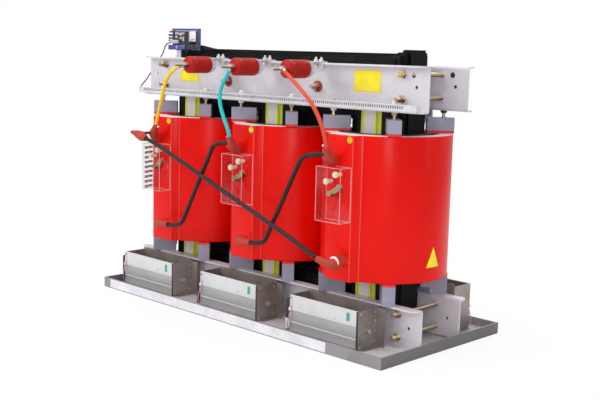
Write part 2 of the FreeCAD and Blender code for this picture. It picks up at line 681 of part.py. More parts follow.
def drill_yokes(pieces):
    """Holes through both yokes for the rods between the phases."""
    for name, z in zip(("core_lower_yoke", "core_upper_yoke"), YOKE_ROD_LEVELS):
        holes = []
        for side in (-1, 1):
            x = side * PHASE_PITCH / 2
            radius = ROD_RADIUS + HOLE_CLEARANCE
            holes.append(rod(radius, (x, -WEB_INNER, z), (x, WEB_INNER, z)))
        pieces[name] = pieces[name].cut(holes)


def insulator_places():
    """Middle of each high-voltage insulator along X."""
    return [step * INSULATOR_PITCH for step in (-1, 0, 1)]


def insulator_z():
    """Height of the insulators' common axis plane."""
    return UPPER_CLAMP_TOP - INSULATOR_DROP + BRACKET_THICKNESS


def bracket_bolt_places(x):
    """Two bolts beside each other on the bracket's flat leg."""
    half = BRACKET_BOLT_SPACING / 2
    return (x - half, x + half)


def bracket_bolt_y():
    """Middle of the bracket bolts, inside the flange's tip."""
    return -FLANGE_TIP + BRACKET_BOLT_INSET


def insulator_body():
    """Ribbed insulator turned about its axis, pointing along -Y from the origin."""
    profile = [(0, 0), (INSULATOR_RADIUS - INSULATOR_GROOVE, 0)]
    collar = INSULATOR_LENGTH * 0.12
    pitch = (INSULATOR_LENGTH - 2 * collar) / INSULATOR_RIBS
    for rib in range(INSULATOR_RIBS):
        start = collar + rib * pitch
        profile.append((INSULATOR_RADIUS - INSULATOR_GROOVE, start))
        profile.append((INSULATOR_RADIUS, start + pitch * 0.35))
        profile.append((INSULATOR_RADIUS, start + pitch * 0.65))
    profile.append((INSULATOR_RADIUS - INSULATOR_GROOVE, INSULATOR_LENGTH - collar))
    profile.append((INSULATOR_RADIUS * 0.72, INSULATOR_LENGTH))
    profile.append((0, INSULATOR_LENGTH))
    points = [Vector(radius, -along, 0) for radius, along in profile]
    face = Part.Face(Part.makePolygon(points + points[:1]))
    return face.revolve(Vector(0, 0, 0), Vector(0, 1, 0), 360)


def lug_start(place):
    """Middle of a lug on its stud."""
    front = BRACKET_FRONT + INSULATOR_LENGTH + STUD_NUT_HEIGHT + LUG_THICKNESS / 2
    return Vector(place, -front, insulator_z())


def high_voltage_terminals():
    """Brackets, bolts, insulators and studs with lugs on the upper front clamp."""
    groups = {"insulator_brackets": [], "bracket_bolts": [], "hv_insulators": [],
              "terminal_studs": []}
    body = insulator_body()
    z = insulator_z()
    half = BRACKET_WIDTH / 2
    leg_top = UPPER_CLAMP_TOP + BRACKET_THICKNESS
    for index, x in enumerate(insulator_places()):
        leg = box((x - half, -BRACKET_FRONT, UPPER_CLAMP_TOP), (x + half, -BRACKET_BACK, leg_top))
        inner = -BRACKET_FRONT + BRACKET_THICKNESS
        plate = fuse([box((x - half, -BRACKET_FRONT, z), (x + half, inner, leg_top)),
                      rod(half, (x, -BRACKET_FRONT, z), (x, inner, z))])
        cup = rod(BRACKET_CUP_RADIUS, (x, inner, z), (x, inner + BRACKET_CUP_DEPTH, z))
        bracket = fuse([leg, plate, cup])
        y = bracket_bolt_y()
        bottom = UPPER_CLAMP_TOP - CLAMP_THICKNESS
        for bolt_x in bracket_bolt_places(x):
            low = bottom - BRACKET_NUT_HEIGHT
            high = leg_top + BRACKET_NUT_HEIGHT
            hole = rod(BRACKET_BOLT_RADIUS + HOLE_CLEARANCE, (bolt_x, y, bottom), (bolt_x, y, high))
            bracket = bracket.cut(hole)
            shank = rod(BRACKET_BOLT_RADIUS, (bolt_x, y, low - BRACKET_BOLT_END),
                        (bolt_x, y, high + BRACKET_BOLT_END))
            under = nut(BRACKET_NUT_FLATS, (bolt_x, y, low), (bolt_x, y, bottom))
            over = nut(BRACKET_NUT_FLATS, (bolt_x, y, leg_top), (bolt_x, y, high))
            groups["bracket_bolts"].append(fuse([shank, under, over]))
        groups["insulator_brackets"].append(bracket)
        groups["hv_insulators"].append(moved(body, x=x, y=-BRACKET_FRONT, z=z))
        front = -BRACKET_FRONT - INSULATOR_LENGTH
        stud = rod(STUD_RADIUS, (x, front, z), (x, front - STUD_LENGTH, z))
        hexagon = nut(STUD_NUT_FLATS, (x, front, z), (x, front - STUD_NUT_HEIGHT, z))
        centre = lug_start(x)
        lug_front = centre.y - LUG_THICKNESS / 2
        lug = rod(LUG_RADIUS, (x, centre.y + LUG_THICKNESS / 2, z), (x, lug_front, z))
        lock = nut(STUD_NUT_FLATS, (x, lug_front, z), (x, lug_front - STUD_NUT_HEIGHT, z))
        barrel = rod(BARREL_RADIUS, tuple(centre), tuple(lead_start(index)))
        groups["terminal_studs"].append(fuse([stud, hexagon, lug, lock, barrel]))
    return groups


def lead_start(index):
    """End of a lug's barrel, where the lead begins."""
    place = insulator_places()[index]
    return lug_start(place) + Vector(*LUG_DIRECTIONS[index]) * BARREL_LENGTHS[index]


def tube(route, diameter, bend=None, name=""):
    """Round tube along straight runs joined by tangent arcs."""
    points = [Vector(*point) for point in route]
    edges = []
    start = points[0]
    radii = []
    for before, corner, after in zip(points, points[1:], points[2:]):
        inward = Vector(corner - before)
        outward = Vector(after - corner)
        shorter = min(inward.Length, outward.Length)
        turn = inward.getAngle(outward)
        radius = 0.45 * shorter / math.tan(turn / 2)
        if bend:
            radius = min(bend, radius)
        radii.append(round(radius, 1))
        inward.normalize()
        outward.normalize()
        setback = radius * math.tan(turn / 2)
        enter = corner - inward * setback
        leave = corner + outward * setback
        bisector = (outward - inward).normalize()
        middle = corner + bisector * (radius / math.cos(turn / 2) - radius)
        edges.append(Part.LineSegment(start, enter).toShape())
        edges.append(Part.Arc(enter, middle, leave).toShape())
        start = leave
    edges.append(Part.LineSegment(start, points[-1]).toShape())
    path = Part.Wire(edges)
    ring = Part.Circle(points[0], points[1] - points[0], diameter / 2)
    solid = path.makePipeShell([Part.Wire(ring.toShape())], True, False)
    print(name, "length", round(path.Length), "radii", radii)
    return solid


def sleeve(points):
    """Shrunk sleeve: cones through (x, y, z, radius) stations, ball jointed."""
    pieces = []
    for start, end in zip(points, points[1:]):
        origin = Vector(*start[:3])
        axis = Vector(*end[:3]) - origin
        if abs(start[3] - end[3]) < 0.01:
            pieces.append(Part.makeCylinder(start[3], axis.Length, origin, axis))
        else:
            pieces.append(Part.makeCone(start[3], end[3], axis.Length, origin, axis))
    for station in points[1:-1]:
        pieces.append(Part.makeSphere(station[3], Vector(*station[:3])))
    return fuse(pieces)


# Routes as points in space. The leads start at their lugs, the links at the boots.
LEAD_A = ((-366, -343, 994), (-405, -347, 942), (-420, -347, 890), (-456, -335, 829),
          (-494, -320, 776), (-512, -313, 742))
LEAD_B = ((-40, -344, 962), (-59, -347, 912), (-51, -347, 862), (-27, -344, 808),
          (-5, -338, 760), (-13, -330, 735))
LEAD_C = ((372, -346, 962), (431, -349, 920), (473, -348, 872), (499, -345, 822),
          (514, -338, 763), (507, -330, 737))
LINK_AB = ((-21, -331, 722), (-88, -344, 718), (-118, -340, 672), (-290, -326, 395),
           (-322, -326, 343), (-412, -324, 340))
LINK_BC = ((499, -331, 722), (424, -344, 718), (388, -340, 690), (212, -326, 392),
           (186, -326, 343), (108, -324, 340))
LINK_CA = ((-575, -350, 712), (-470, -352, 688), (380, -352, 390), (486, -348, 344))
CONTROLLER_CABLE = ((-605.5, -158, 1113), (-626, -160, 1107), (-650, -156, 1091),
                    (-684, -136, 1068), (-724, -112, 1055), (-762, -101, 1036), (-792, -99, 1004),
                    (-808, -112, 972), (-811, -134, 942), (-812, -152, 924), (-809, -167, 912),
                    (-799.5, -176, 906))


def boots():
    """Shrunk boots over the lugs at the coil terminals."""
    face = -BOSS_FACE
    solids = []
    for phase in PHASES:
        x = phase_x(phase)
        up_x, up_z = UPPER_TERMINAL_X, UPPER_TERMINAL_Z
        root = (x + up_x + 4, face - 2, up_z + 3, 17)
        if phase == "a":
            knuckle = (x + up_x + 13, face - 38, up_z + 19, 19)
            stem = sleeve([root, knuckle, (x + 22, face - 48, up_z + 69, 9)])
        else:
            knuckle = (x + up_x + 3, face - 42, up_z + 19, 20)
            stem = sleeve([root, knuckle, (x - 8, face - 66, up_z + 57, 9)])
        solids.append(stem)
        low_x, low_z = LOWER_TERMINAL_X, LOWER_TERMINAL_Z
        if phase == "c":
            seat = (x + low_x, face - 30, low_z, 18)
            bend = (x + low_x - 12, face - 58, low_z - 6, 19)
            arm = sleeve([seat, bend, (x - 30, face - 78, low_z + 10, 11)])
        else:
            seat = (x + low_x, face - 28, low_z + 2, 18)
            bend = (x + low_x + 4, face - 52, low_z + 6, 19)
            arm = sleeve([seat, bend, (x + low_x + 72, face - 55, low_z + 9, 11)])
        solids.append(arm)
    x, z = phase_x("a"), UPPER_TERMINAL_Z
    solids.append(sleeve([(x - 28, face - 80, z + 13, 11), (x - 58, face - 82, z + 19, 20),
                          (x - 113, face - 84, z + 30, 5)]))
    return solids


def leads(groups, boot_solids, coils):
    """High-voltage leads and delta links, trimmed where boots and terminals hold them."""
    made = {}
    for index, (name, route) in enumerate((("hv_lead_a", LEAD_A), ("hv_lead_b", LEAD_B),
                                           ("hv_lead_c", LEAD_C))):
        start = tuple(lead_start(index))
        solid = tube((start,) + route, LEAD_DIAMETER, name=name)
        made[name] = solid.cut(boot_solids + groups["terminal_studs"])
    for name, route in (("delta_link_ab", LINK_AB), ("delta_link_bc", LINK_BC),
                        ("delta_link_ca", LINK_CA)):
        solid = tube(route, LINK_DIAMETER, bend=LINK_BEND, name=name)
        made[name] = solid.cut(boot_solids)
    return made


def wiring_duct():
    """Slotted duct lying on the flange, in front of the jack bolts."""
    half = UPPER_CLAMP_LENGTH / 2
    back = -DUCT_BACK
    front = back - DUCT_DEPTH
    bottom = UPPER_CLAMP_BOTTOM + CLAMP_THICKNESS
    top = bottom + DUCT_HEIGHT
    solid = box((-half, front, bottom), (half, back, top))
    hollow = box((-half, front + DUCT_WALL, bottom + DUCT_WALL), (half, back - DUCT_WALL, top - DUCT_WALL))
    return solid.cut(hollow)


def controller():
    """Open sheet frame on two posts, with the controller module inside."""
    left = CONTROLLER_X - CONTROLLER_WIDTH / 2
    right = CONTROLLER_X + CONTROLLER_WIDTH / 2
    middle = -WEB_OUTER - CONTROLLER_OVER_FLANGE
    front = middle - CONTROLLER_DEPTH / 2
    back = middle + CONTROLLER_DEPTH / 2
    bottom = UPPER_CLAMP_TOP + CONTROLLER_LIFT
    top = bottom + CONTROLLER_HEIGHT
    sheet = CONTROLLER_SHEET
    frame = box((left, front, bottom), (right, back, top))
    frame = frame.cut(box((left + sheet, front, bottom + sheet), (right - sheet, back, top - sheet)))
    posts = []
    for x in (left + CONTROLLER_POST_INSET, right - CONTROLLER_POST_INSET):
        half = CONTROLLER_POST / 2
        post_front = front + CONTROLLER_POST_REACH
        post_back = post_front + CONTROLLER_POST
        posts.append(box((x - half, post_front, UPPER_CLAMP_TOP), (x + half, post_back, bottom)))
    frame = fuse([frame] + posts)
    module_left = left + MODULE_INSET
    shelf = box((left + sheet, front, bottom + sheet), (right - sheet, back, bottom + MODULE_BASE))
    module = box((module_left, front, bottom + MODULE_BASE),
                 (module_left + MODULE_WIDTH, front + MODULE_DEPTH,
                  bottom + MODULE_BASE + MODULE_HEIGHT))
    plug_bottom = bottom + PLUG_LEVEL
    plug = box((module_left, front - PLUG_DEPTH, plug_bottom),
               (module_left + PLUG_WIDTH, front, plug_bottom + PLUG_HEIGHT))
    return frame, fuse([shelf, module, plug])


def bar_path(x, level, turn_y, top):
    """Flat bar from the coil's top, back over the coil and up as a terminal."""
    half = BAR_WIDTH / 2
    start_y = (LV_INNER_RADIUS + LV_OUTER_RADIUS) / 2
    low = start_y - BAR_THICKNESS / 2
    z = COIL_TOP + level
    outline = [(x - half, low, COIL_TOP), (x - half, low, z), (x - half, turn_y, z),
               (x - half, turn_y, top), (x - half, turn_y + BAR_THICKNESS, top),
               (x - half, turn_y + BAR_THICKNESS, z - BAR_THICKNESS),
               (x - half, low + BAR_THICKNESS, z - BAR_THICKNESS),
               (x - half, low + BAR_THICKNESS, COIL_TOP)]
    return prism(outline, (BAR_WIDTH, 0, 0))


def low_voltage():
    """Phase bars, the neutral bar and the bars' standoffs on the rear clamp."""
    bars = []
    standoffs = []
    top = COIL_TOP + BAR_LEVEL + BAR_TERMINAL_RISE
    support_z = UPPER_CLAMP_TOP - STANDOFF_DROP
    for phase in PHASES:
        x = phase_x(phase) + BAR_OFFSET
        bar = bar_path(x, BAR_LEVEL, BAR_TERMINAL_Y, top)
        for row in (0.5, 1.5):
            z = top - row * BAR_HOLE_SPACING
            start = (x, BAR_TERMINAL_Y - 1, z)
            bar = bar.cut(rod(BAR_HOLE_RADIUS, start, (x, BAR_TERMINAL_Y + BAR_THICKNESS + 1, z)))
        bars.append(bar)
        standoffs.append(rod(STANDOFF_RADIUS, (x, WEB_OUTER, support_z), (x, BAR_TERMINAL_Y, support_z)))
    half = BAR_WIDTH / 2
    z = COIL_TOP + NEUTRAL_LEVEL
    end = PHASE_PITCH + half
    pieces = [box((-end, NEUTRAL_Y - half, z - BAR_THICKNESS), (end, NEUTRAL_Y + half, z))]
    start_y = (LV_INNER_RADIUS + LV_OUTER_RADIUS) / 2
    low = start_y - BAR_THICKNESS / 2
    for phase in PHASES:
        x = phase_x(phase)
        pieces.append(box((x - half, low, COIL_TOP), (x + half, low + BAR_THICKNESS, z)))
        pieces.append(box((x - half, low, z - BAR_THICKNESS), (x + half, NEUTRAL_Y, z)))
    flag_y = NEUTRAL_Y + half - BAR_THICKNESS
    flag = box((end - BAR_WIDTH, flag_y, z - BAR_THICKNESS), (end, NEUTRAL_Y + half, top))
    for row in (0.5, 1.5):
        hole_z = top - row * BAR_HOLE_SPACING
        flag = flag.cut(rod(BAR_HOLE_RADIUS, (PHASE_PITCH, flag_y - 1, hole_z),
                            (PHASE_PITCH, NEUTRAL_Y + half + 1, hole_z)))
    return bars, fuse(pieces + [flag]), standoffs


def fan_axis():
    """Distance from the middle plane and height of the rotor's axis."""
    return FAN_FACE - FAN_DEPTH + FAN_WRAP, FLOOR_TOP + FAN_WRAP + VOLUTE_GROWTH


def straight_edges(points):
    """Edges from each point to the next."""
    return [Part.LineSegment(start, end).toShape() for start, end in zip(points, points[1:])]


def fan_sheet(top):
    """Folded sheet of a fan: lip, ribbed front, ledge, floor, volute and back, with x from 0."""
    front = -FAN_FACE
    back = front + FAN_DEPTH
    bottom = FLOOR_TOP
    axis_z = fan_axis()[1]
    outer = axis_z - bottom
    inner = outer - FAN_SHEET
    middle = back - outer
    skew = math.sqrt(0.5)
    outside = [Vector(0, front + FAN_LIP, top), Vector(0, front, top)]
    for height in reversed(FAN_RIB_HEIGHTS):
        z = bottom + height
        outside.append(Vector(0, front, z + FAN_RIB))
        outside.append(Vector(0, front - FAN_RIB, z + FAN_RIB / 2))
        outside.append(Vector(0, front, z))
    outside.append(Vector(0, front, bottom + FAN_SHEET))
    outside.append(Vector(0, front - FAN_LEDGE, bottom + FAN_SHEET))
    outside.append(Vector(0, front - FAN_LEDGE, bottom))
    outside.append(Vector(0, middle, bottom))
    rise = [Vector(0, back, axis_z), Vector(0, back, top + FAN_BACK_RISE)]
    rise.append(Vector(0, back - FAN_SHEET, top + FAN_BACK_RISE))
    rise.append(Vector(0, back - FAN_SHEET, axis_z))
    inside = [Vector(0, middle, bottom + FAN_SHEET)]
    inside.append(Vector(0, front + FAN_SHEET, bottom + FAN_SHEET))
    inside.append(Vector(0, front + FAN_SHEET, top - FAN_SHEET))
    inside.append(Vector(0, front + FAN_LIP, top - FAN_SHEET))
    inside.append(outside[0])
    edges = straight_edges(outside)
    elbow = Vector(0, middle + outer * skew, axis_z - outer * skew)
    edges.append(Part.Arc(outside[-1], elbow, rise[0]).toShape())
    edges += straight_edges(rise)
    elbow = Vector(0, middle + inner * skew, axis_z - inner * skew)
    edges.append(Part.Arc(rise[-1], elbow, inside[0]).toShape())
    edges += straight_edges(inside)
    return Part.Face(Part.Wire(edges)).extrude(Vector(FAN_LENGTH, 0, 0))


def fan_housing(height):
    """Fan housing with its middle at x = 0: folded sheet, two end plates and the bearing."""
    half = FAN_LENGTH / 2
    front = -FAN_FACE
    back = -FAN_FACE + FAN_DEPTH
    bottom = FLOOR_TOP
    top = FLOOR_TOP + height
    axis_reach, axis_z = fan_axis()
    axis_y = -axis_reach
    sheet = FAN_SHEET
    housing = moved(fan_sheet(top), x=-half)
    for side in (-1, 1):
        low = min(side * half, side * (half + sheet))
        foot = sorted((side * half, side * (half + FAN_FOOT)))
        housing = housing.fuse(box((low, front, bottom), (low + sheet, back, top)))
        foot_front = (foot[0], front + FAN_LIP, bottom)
        housing = housing.fuse(box(foot_front, (foot[1], back, bottom + sheet)))
    seat = half + sheet
    housing = housing.fuse(box((half, back - sheet, bottom), (half + FAN_WING, back, top)))
    bearing_end = seat + BEARING_LENGTH
    housing = housing.fuse(rod(BEARING_RADIUS, (seat, axis_y, axis_z), (bearing_end, axis_y, axis_z)))
    bore = SHAFT_RADIUS + SHAFT_CLEARANCE
    bore_end = bearing_end - sheet
    housing = housing.cut(rod(bore, (half - 1, axis_y, axis_z), (bore_end, axis_y, axis_z)))
    return housing.removeSplitter()


def fan_motor():
    """Motor bolted to the inside of the housing's left end plate."""
    axis_reach, axis_z = fan_axis()
    left = -FAN_LENGTH / 2
    right = left + MOTOR_LENGTH
    solid = rod(MOTOR_RADIUS, (left, -axis_reach, axis_z), (right, -axis_reach, axis_z))
    bore = SHAFT_RADIUS + SHAFT_CLEARANCE
    start = (right - MOTOR_BORE_DEPTH, -axis_reach, axis_z)
    return solid.cut(rod(bore, start, (right + 1, -axis_reach, axis_z)))


def fan_rotor():
    """Cross-flow rotor: bent blades between discs, with a stub at each end."""
    left = -FAN_LENGTH / 2 + MOTOR_LENGTH + ROTOR_END_GAP
    right = FAN_LENGTH / 2 - ROTOR_END_GAP
    middle = (left + right) / 2
    discs = []
    for x in (left, middle - ROTOR_DISC / 2, right - ROTOR_DISC):
        disc = rod(ROTOR_RADIUS, (x, 0, 0), (x + ROTOR_DISC, 0, 0))
        discs.append(disc)
    hub = ROTOR_RADIUS - ROTOR_BLADE_DEPTH
    thin = ROTOR_BLADE_THICKNESS / 2
    bend = ROTOR_BLADE_DEPTH * 0.3
    knee = ROTOR_RADIUS - ROTOR_BLADE_DEPTH / 2
    reach = ROTOR_RADIUS - 0.3
    outline = [(left, hub, -thin), (left, knee, bend - thin), (left, reach, bend * 3 - thin),
               (left, reach, bend * 3 + thin), (left, knee, bend + thin), (left, hub, thin)]
    blade = prism(outline, (right - left, 0, 0))
    blades = []
    for step in range(ROTOR_BLADES):
        angle = 360.0 * step / ROTOR_BLADES
        blades.append(blade.rotated(Vector(0, 0, 0), Vector(1, 0, 0), angle))
    trimmed = rod(ROTOR_RADIUS, (left, 0, 0), (right, 0, 0))
    blades = [part.common(trimmed) for part in blades]
    stub_left = -FAN_LENGTH / 2 + MOTOR_LENGTH - MOTOR_BORE_DEPTH + ROTOR_END_GAP / 2
    stub_right = FAN_LENGTH / 2 + FAN_SHEET + BEARING_LENGTH - 2 * FAN_SHEET
    stubs = [rod(SHAFT_RADIUS, (stub_left, 0, 0), (left, 0, 0)),
             rod(SHAFT_RADIUS, (right, 0, 0), (stub_right, 0, 0))]
    solid = fuse(discs + blades + stubs)
    axis_reach, axis_z = fan_axis()
    return moved(solid, y=-axis_reach, z=axis_z)


def fan_places(centre):
    """Middle of each fan along X, with the middle fan's place given."""
    return {phase: centre + PHASES[phase] * FAN_PITCH for phase in PHASES}


def turned(shape):
    """The same piece turned half round the vertical axis, out on the rear side."""
    return moved(shape.rotated(Vector(0, 0, 0), Vector(0, 0, 1), 180), y=REAR_FAN_SHIFT)


def fan_lead():
    """Short lead from the front corner of a fan down to its foot."""
    left = -FAN_LENGTH / 2
    front = -FAN_FACE - FAN_RIB
    route = ((left + 10, front - 1, 118), (left + 8, front - 6, 96), (left + 2, front - 10, 70),
             (left - 3, front - 11, 44), (left - 6, front - 4, 24), (left - 8, front + 14, 15))
    return tube(route, FAN_LEAD_DIAMETER, name="fan_lead")


def main():
    os.makedirs("parts", exist_ok=True)
    frame, floor = base()
    save("base_frame", frame)
    save("base_floor", floor)
    lower, upper_rear, upper_front = clamps()
    save("lower_clamp_front", lower)
    save("lower_clamp_rear", rear(lower))
    save("upper_clamp_front", upper_front)
    save("upper_clamp_rear", rear(upper_rear))
    core_pieces = core()
    drill_yokes(core_pieces)
    for name, solid in core_pieces.items():
        save(name, solid)
    plates, insulation = tie_plates()
    save("tie_plates", *plates)
    save("tie_plate_insulation", *insulation)
    high = hv_coil()
    low = lv_coil()
    bolts, link, cover = tap_board()
    boot_solids = [boot.cut([moved(high, x=phase_x(phase)) for phase in PHASES]) for boot in boots()]
    for phase in PHASES:
        save("hv_coil_" + phase, moved(high, x=phase_x(phase)))
        save("lv_coil_" + phase, moved(low, x=phase_x(phase)))
    save("tap_bolts", *[moved(bolt, x=phase_x(phase)) for phase in PHASES for bolt in bolts])
    save("tap_links", *[moved(link, x=phase_x(phase)) for phase in PHASES])
    save("tap_covers", *[moved(cover, x=phase_x(phase)) for phase in PHASES])
    lower_blocks, upper_blocks, pads = supports()
    save("lower_blocks", *lower_blocks)
    save("upper_blocks", *upper_blocks)
    save("block_pads", *pads)
    save("jack_bolts", *jack_bolts())
    rods, washers = clamp_rods()
    save("clamp_rods", *rods)
    save("yoke_bolt_washers", *washers)
    groups = high_voltage_terminals()
    for name, solids in groups.items():
        save(name, *solids)
    for name, solid in leads(groups, boot_solids, high).items():
        save(name, solid)
    save("terminal_boots", *boot_solids)
    save("wiring_duct", wiring_duct())
    frame, module = controller()
    save("controller_frame", frame)
    save("controller_module", module)
    save("controller_cable", tube(CONTROLLER_CABLE, CABLE_DIAMETER, name="controller_cable"))
    bars, neutral, standoffs = low_voltage()
    save("lv_bars", *bars)
    save("neutral_bar", neutral)
    save("lv_standoffs", *standoffs)
    front_housing = fan_housing(FAN_HEIGHT)
    rear_housing = fan_housing(REAR_FAN_HEIGHT)
    rotor = fan_rotor()
    motor = fan_motor()
    lead = fan_lead()
    motors = []
    lead_solids = []
    for phase, x in fan_places(FAN_CENTRE).items():
        save("fan_housing_front_" + phase, moved(front_housing, x=x))
        save("fan_rotor_front_" + phase, moved(rotor, x=x))
        motors.append(moved(motor, x=x))
        lead_solids.append(moved(lead, x=x))
    for phase, x in fan_places(REAR_FAN_CENTRE).items():
        save("fan_housing_rear_" + phase, turned(moved(rear_housing, x=-x)))
        save("fan_rotor_rear_" + phase, turned(moved(rotor, x=-x)))
        motors.append(turned(moved(motor, x=-x)))
        lead_solids.append(turned(moved(lead, x=-x)))
    save("fan_motors", *motors)
    save("fan_leads", *lead_solids)


main()
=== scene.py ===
"""Visual model of a dry-type three-phase transformer with cast coils and cross-flow fans.

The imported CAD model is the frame. Plain nodes get their finishes, and the pieces that the
solids only block out are built here in full: coils, insulators, boots, cords, covers, duct,
controller and the fans' fittings. Lengths are in metres.
"""

import math

import bmesh
import bpy
from bpy.props import FloatProperty, FloatVectorProperty, IntProperty, PointerProperty
from mathutils import Matrix, Vector, noise


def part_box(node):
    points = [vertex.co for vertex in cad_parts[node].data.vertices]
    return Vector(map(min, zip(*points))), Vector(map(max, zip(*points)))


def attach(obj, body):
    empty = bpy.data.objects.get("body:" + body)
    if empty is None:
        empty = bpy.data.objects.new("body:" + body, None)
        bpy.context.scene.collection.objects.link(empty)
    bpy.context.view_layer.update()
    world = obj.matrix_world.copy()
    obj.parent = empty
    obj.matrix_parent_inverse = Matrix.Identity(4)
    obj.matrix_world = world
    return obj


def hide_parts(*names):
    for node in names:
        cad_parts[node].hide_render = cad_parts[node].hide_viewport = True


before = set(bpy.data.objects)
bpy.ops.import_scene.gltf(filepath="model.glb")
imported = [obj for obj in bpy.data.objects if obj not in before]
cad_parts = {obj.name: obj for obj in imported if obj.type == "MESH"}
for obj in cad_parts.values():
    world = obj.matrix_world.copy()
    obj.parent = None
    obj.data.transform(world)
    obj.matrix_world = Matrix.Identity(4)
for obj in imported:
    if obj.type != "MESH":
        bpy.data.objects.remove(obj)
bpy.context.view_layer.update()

bl_info = {
    "name": "Dry-type transformer",
    "version": (1, 0, 0),
    "blender": (4, 5, 0),
    "location": "3D View > Sidebar > Transformer",
    "description": "Builds the coils, insulators, covers and fittings around the CAD model",
    "category": "Object",
}

ROOT = "transformer"
PHASES = ("a", "b", "c")

COIL_BOXES = {phase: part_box("hv_coil_" + phase) for phase in PHASES}
COIL_X = {phase: (low.x + high.x) / 2 for phase, (low, high) in COIL_BOXES.items()}
COIL_RADIUS = COIL_BOXES["b"][1].y
COIL_LOW = COIL_BOXES["b"][0].z
COIL_HIGH = COIL_BOXES["b"][1].z
COVER_LOW, COVER_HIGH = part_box("tap_covers")
FACE_Y = COVER_HIGH.y
DUCT_LOW, DUCT_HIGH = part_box("wiring_duct")
CLAMP_LOW, CLAMP_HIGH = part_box("upper_clamp_front")
FRAME_LOW, FRAME_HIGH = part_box("base_frame")


def phase_nodes(stem):
    """Names of the three nodes that differ only by their phase."""
    return [stem + phase for phase in PHASES]


# Sizes and colours that a user may change


class TransformerSizes(bpy.types.PropertyGroup):
    coil_bore: FloatProperty(name="Coil bore", description="Inner radius of a cast coil",
                             default=0.192, unit="LENGTH")
    coil_rim: FloatProperty(name="Coil rim", description="Radius of the coil's top and bottom edge",
                            default=0.005, unit="LENGTH")
    face_width: FloatProperty(name="Terminal face", description="Width of the flat terminal face",
                              default=0.122, unit="LENGTH")
    face_root: FloatProperty(name="Face root", description="Width where the flat face leaves the coil",
                             default=0.154, unit="LENGTH")
    insulator_groove: FloatProperty(name="Insulator groove", description="Depth between two ribs",
                                    default=0.0034, unit="LENGTH")
    insulator_ribs: IntProperty(name="Insulator ribs", description="Ribs on each insulator", default=9)
    slot_pitch: FloatProperty(name="Slot pitch", description="Distance between the duct's slots",
                              default=0.0105, unit="LENGTH")
    slot_width: FloatProperty(name="Slot width", description="Width of a slot in the duct",
                              default=0.005, unit="LENGTH")
    plate_thickness: FloatProperty(name="Plate thickness", description="Thickness of the bare plates",
                                   default=0.001, unit="LENGTH")


class TransformerColours(bpy.types.PropertyGroup):
    resin: FloatVectorProperty(name="Resin", description="Cast coils", subtype="COLOR",
                               default=(0.80, 0.0050, 0.0020), min=0, max=1)
    clamp: FloatVectorProperty(name="Clamp paint", description="Clamping channels", subtype="COLOR",
                               default=(0.68, 0.65, 0.70), min=0, max=1)
    core: FloatVectorProperty(name="Core varnish", description="Laminated core", subtype="COLOR",
                              default=(0.006, 0.0065, 0.007), min=0, max=1)
    block: FloatVectorProperty(name="Block", description="Coil supports", subtype="COLOR",
                               default=(0.32, 0.315, 0.42), min=0, max=1)
    pad: FloatVectorProperty(name="Pad", description="Soft pads at the coils", subtype="COLOR",
                             default=(0.74, 0.035, 0.045), min=0, max=1)
    insulator: FloatVectorProperty(name="Insulator", description="Post insulators", subtype="COLOR",
                                   default=(0.44, 0.010, 0.006), min=0, max=1)
    boot: FloatVectorProperty(name="Boot", description="Shrunk boots", subtype="COLOR",
                              default=(0.47, 0.045, 0.026), min=0, max=1)
    zinc: FloatVectorProperty(name="Zinc", description="Plated rods and nuts", subtype="COLOR",
                              default=(0.72, 0.52, 0.24), min=0, max=1)
    strip: FloatVectorProperty(name="Strip", description="Laminate beside the tie plates",
                               subtype="COLOR", default=(0.74, 0.80, 0.05), min=0, max=1)
    label: FloatVectorProperty(name="Label", description="Bare yellow plates", subtype="COLOR",
                               default=(1.0, 0.84, 0.006), min=0, max=1)


def sizes():
    return bpy.context.scene.transformer_sizes


def colours():
    return bpy.context.scene.transformer_colours


# Shader expressions


class Wire:
    """A shader socket that can stand in a sum; each sum adds the node that works it out."""

    def __init__(self, shader, socket):
        self.shader = shader
        self.socket = socket

    def join(self, operation, first, second):
        kind = "VectorMath" if self.socket.type in ("VECTOR", "RGBA") else "Math"
        return self.shader.node(kind, {0: first, 1: second}, operation=operation)

    def __add__(self, other):
        return self.join("ADD", self, other)

    def __radd__(self, other):
        return self.join("ADD", other, self)

    def __sub__(self, other):
        return self.join("SUBTRACT", self, other)

    def __rsub__(self, other):
        return self.join("SUBTRACT", other, self)

    def __mul__(self, other):
        return self.join("MULTIPLY", self, other)

    def __rmul__(self, other):
        return self.join("MULTIPLY", other, self)

    def __pow__(self, other):
        return self.join("POWER", self, other)

    def __gt__(self, other):
        return self.join("GREATER_THAN", self, other)

    def __lt__(self, other):
        return self.join("LESS_THAN", self, other)


class Graph:
    """A node tree that grows by one method."""

    def __init__(self, tree):
        self.tree = tree

    def node(self, kind, inputs=None, output=0, stops=None, **settings):
        """Any node: its settings first, then the values or links of its sockets."""
        made = self.tree.nodes.new("ShaderNode" + kind)
        for key, value in settings.items():
            setattr(made, key, value)
        if stops:
            ramp = made.color_ramp
            while len(ramp.elements) < len(stops):
                ramp.elements.new(1.0)
            for element, (position, colour) in zip(ramp.elements, stops):
                element.position = position
                element.color = (*colour, 1)
        for key, value in (inputs or {}).items():
            self.feed(made.inputs[key], value)
        return Wire(self, made.outputs[output])

    def feed(self, socket, value):
        """Link or set one input socket."""
        if isinstance(value, Wire):
            self.tree.links.new(value.socket, socket)
        elif socket.type == "RGBA" and len(value) == 3:
            socket.default_value = (*value, 1)
        else:
            socket.default_value = value


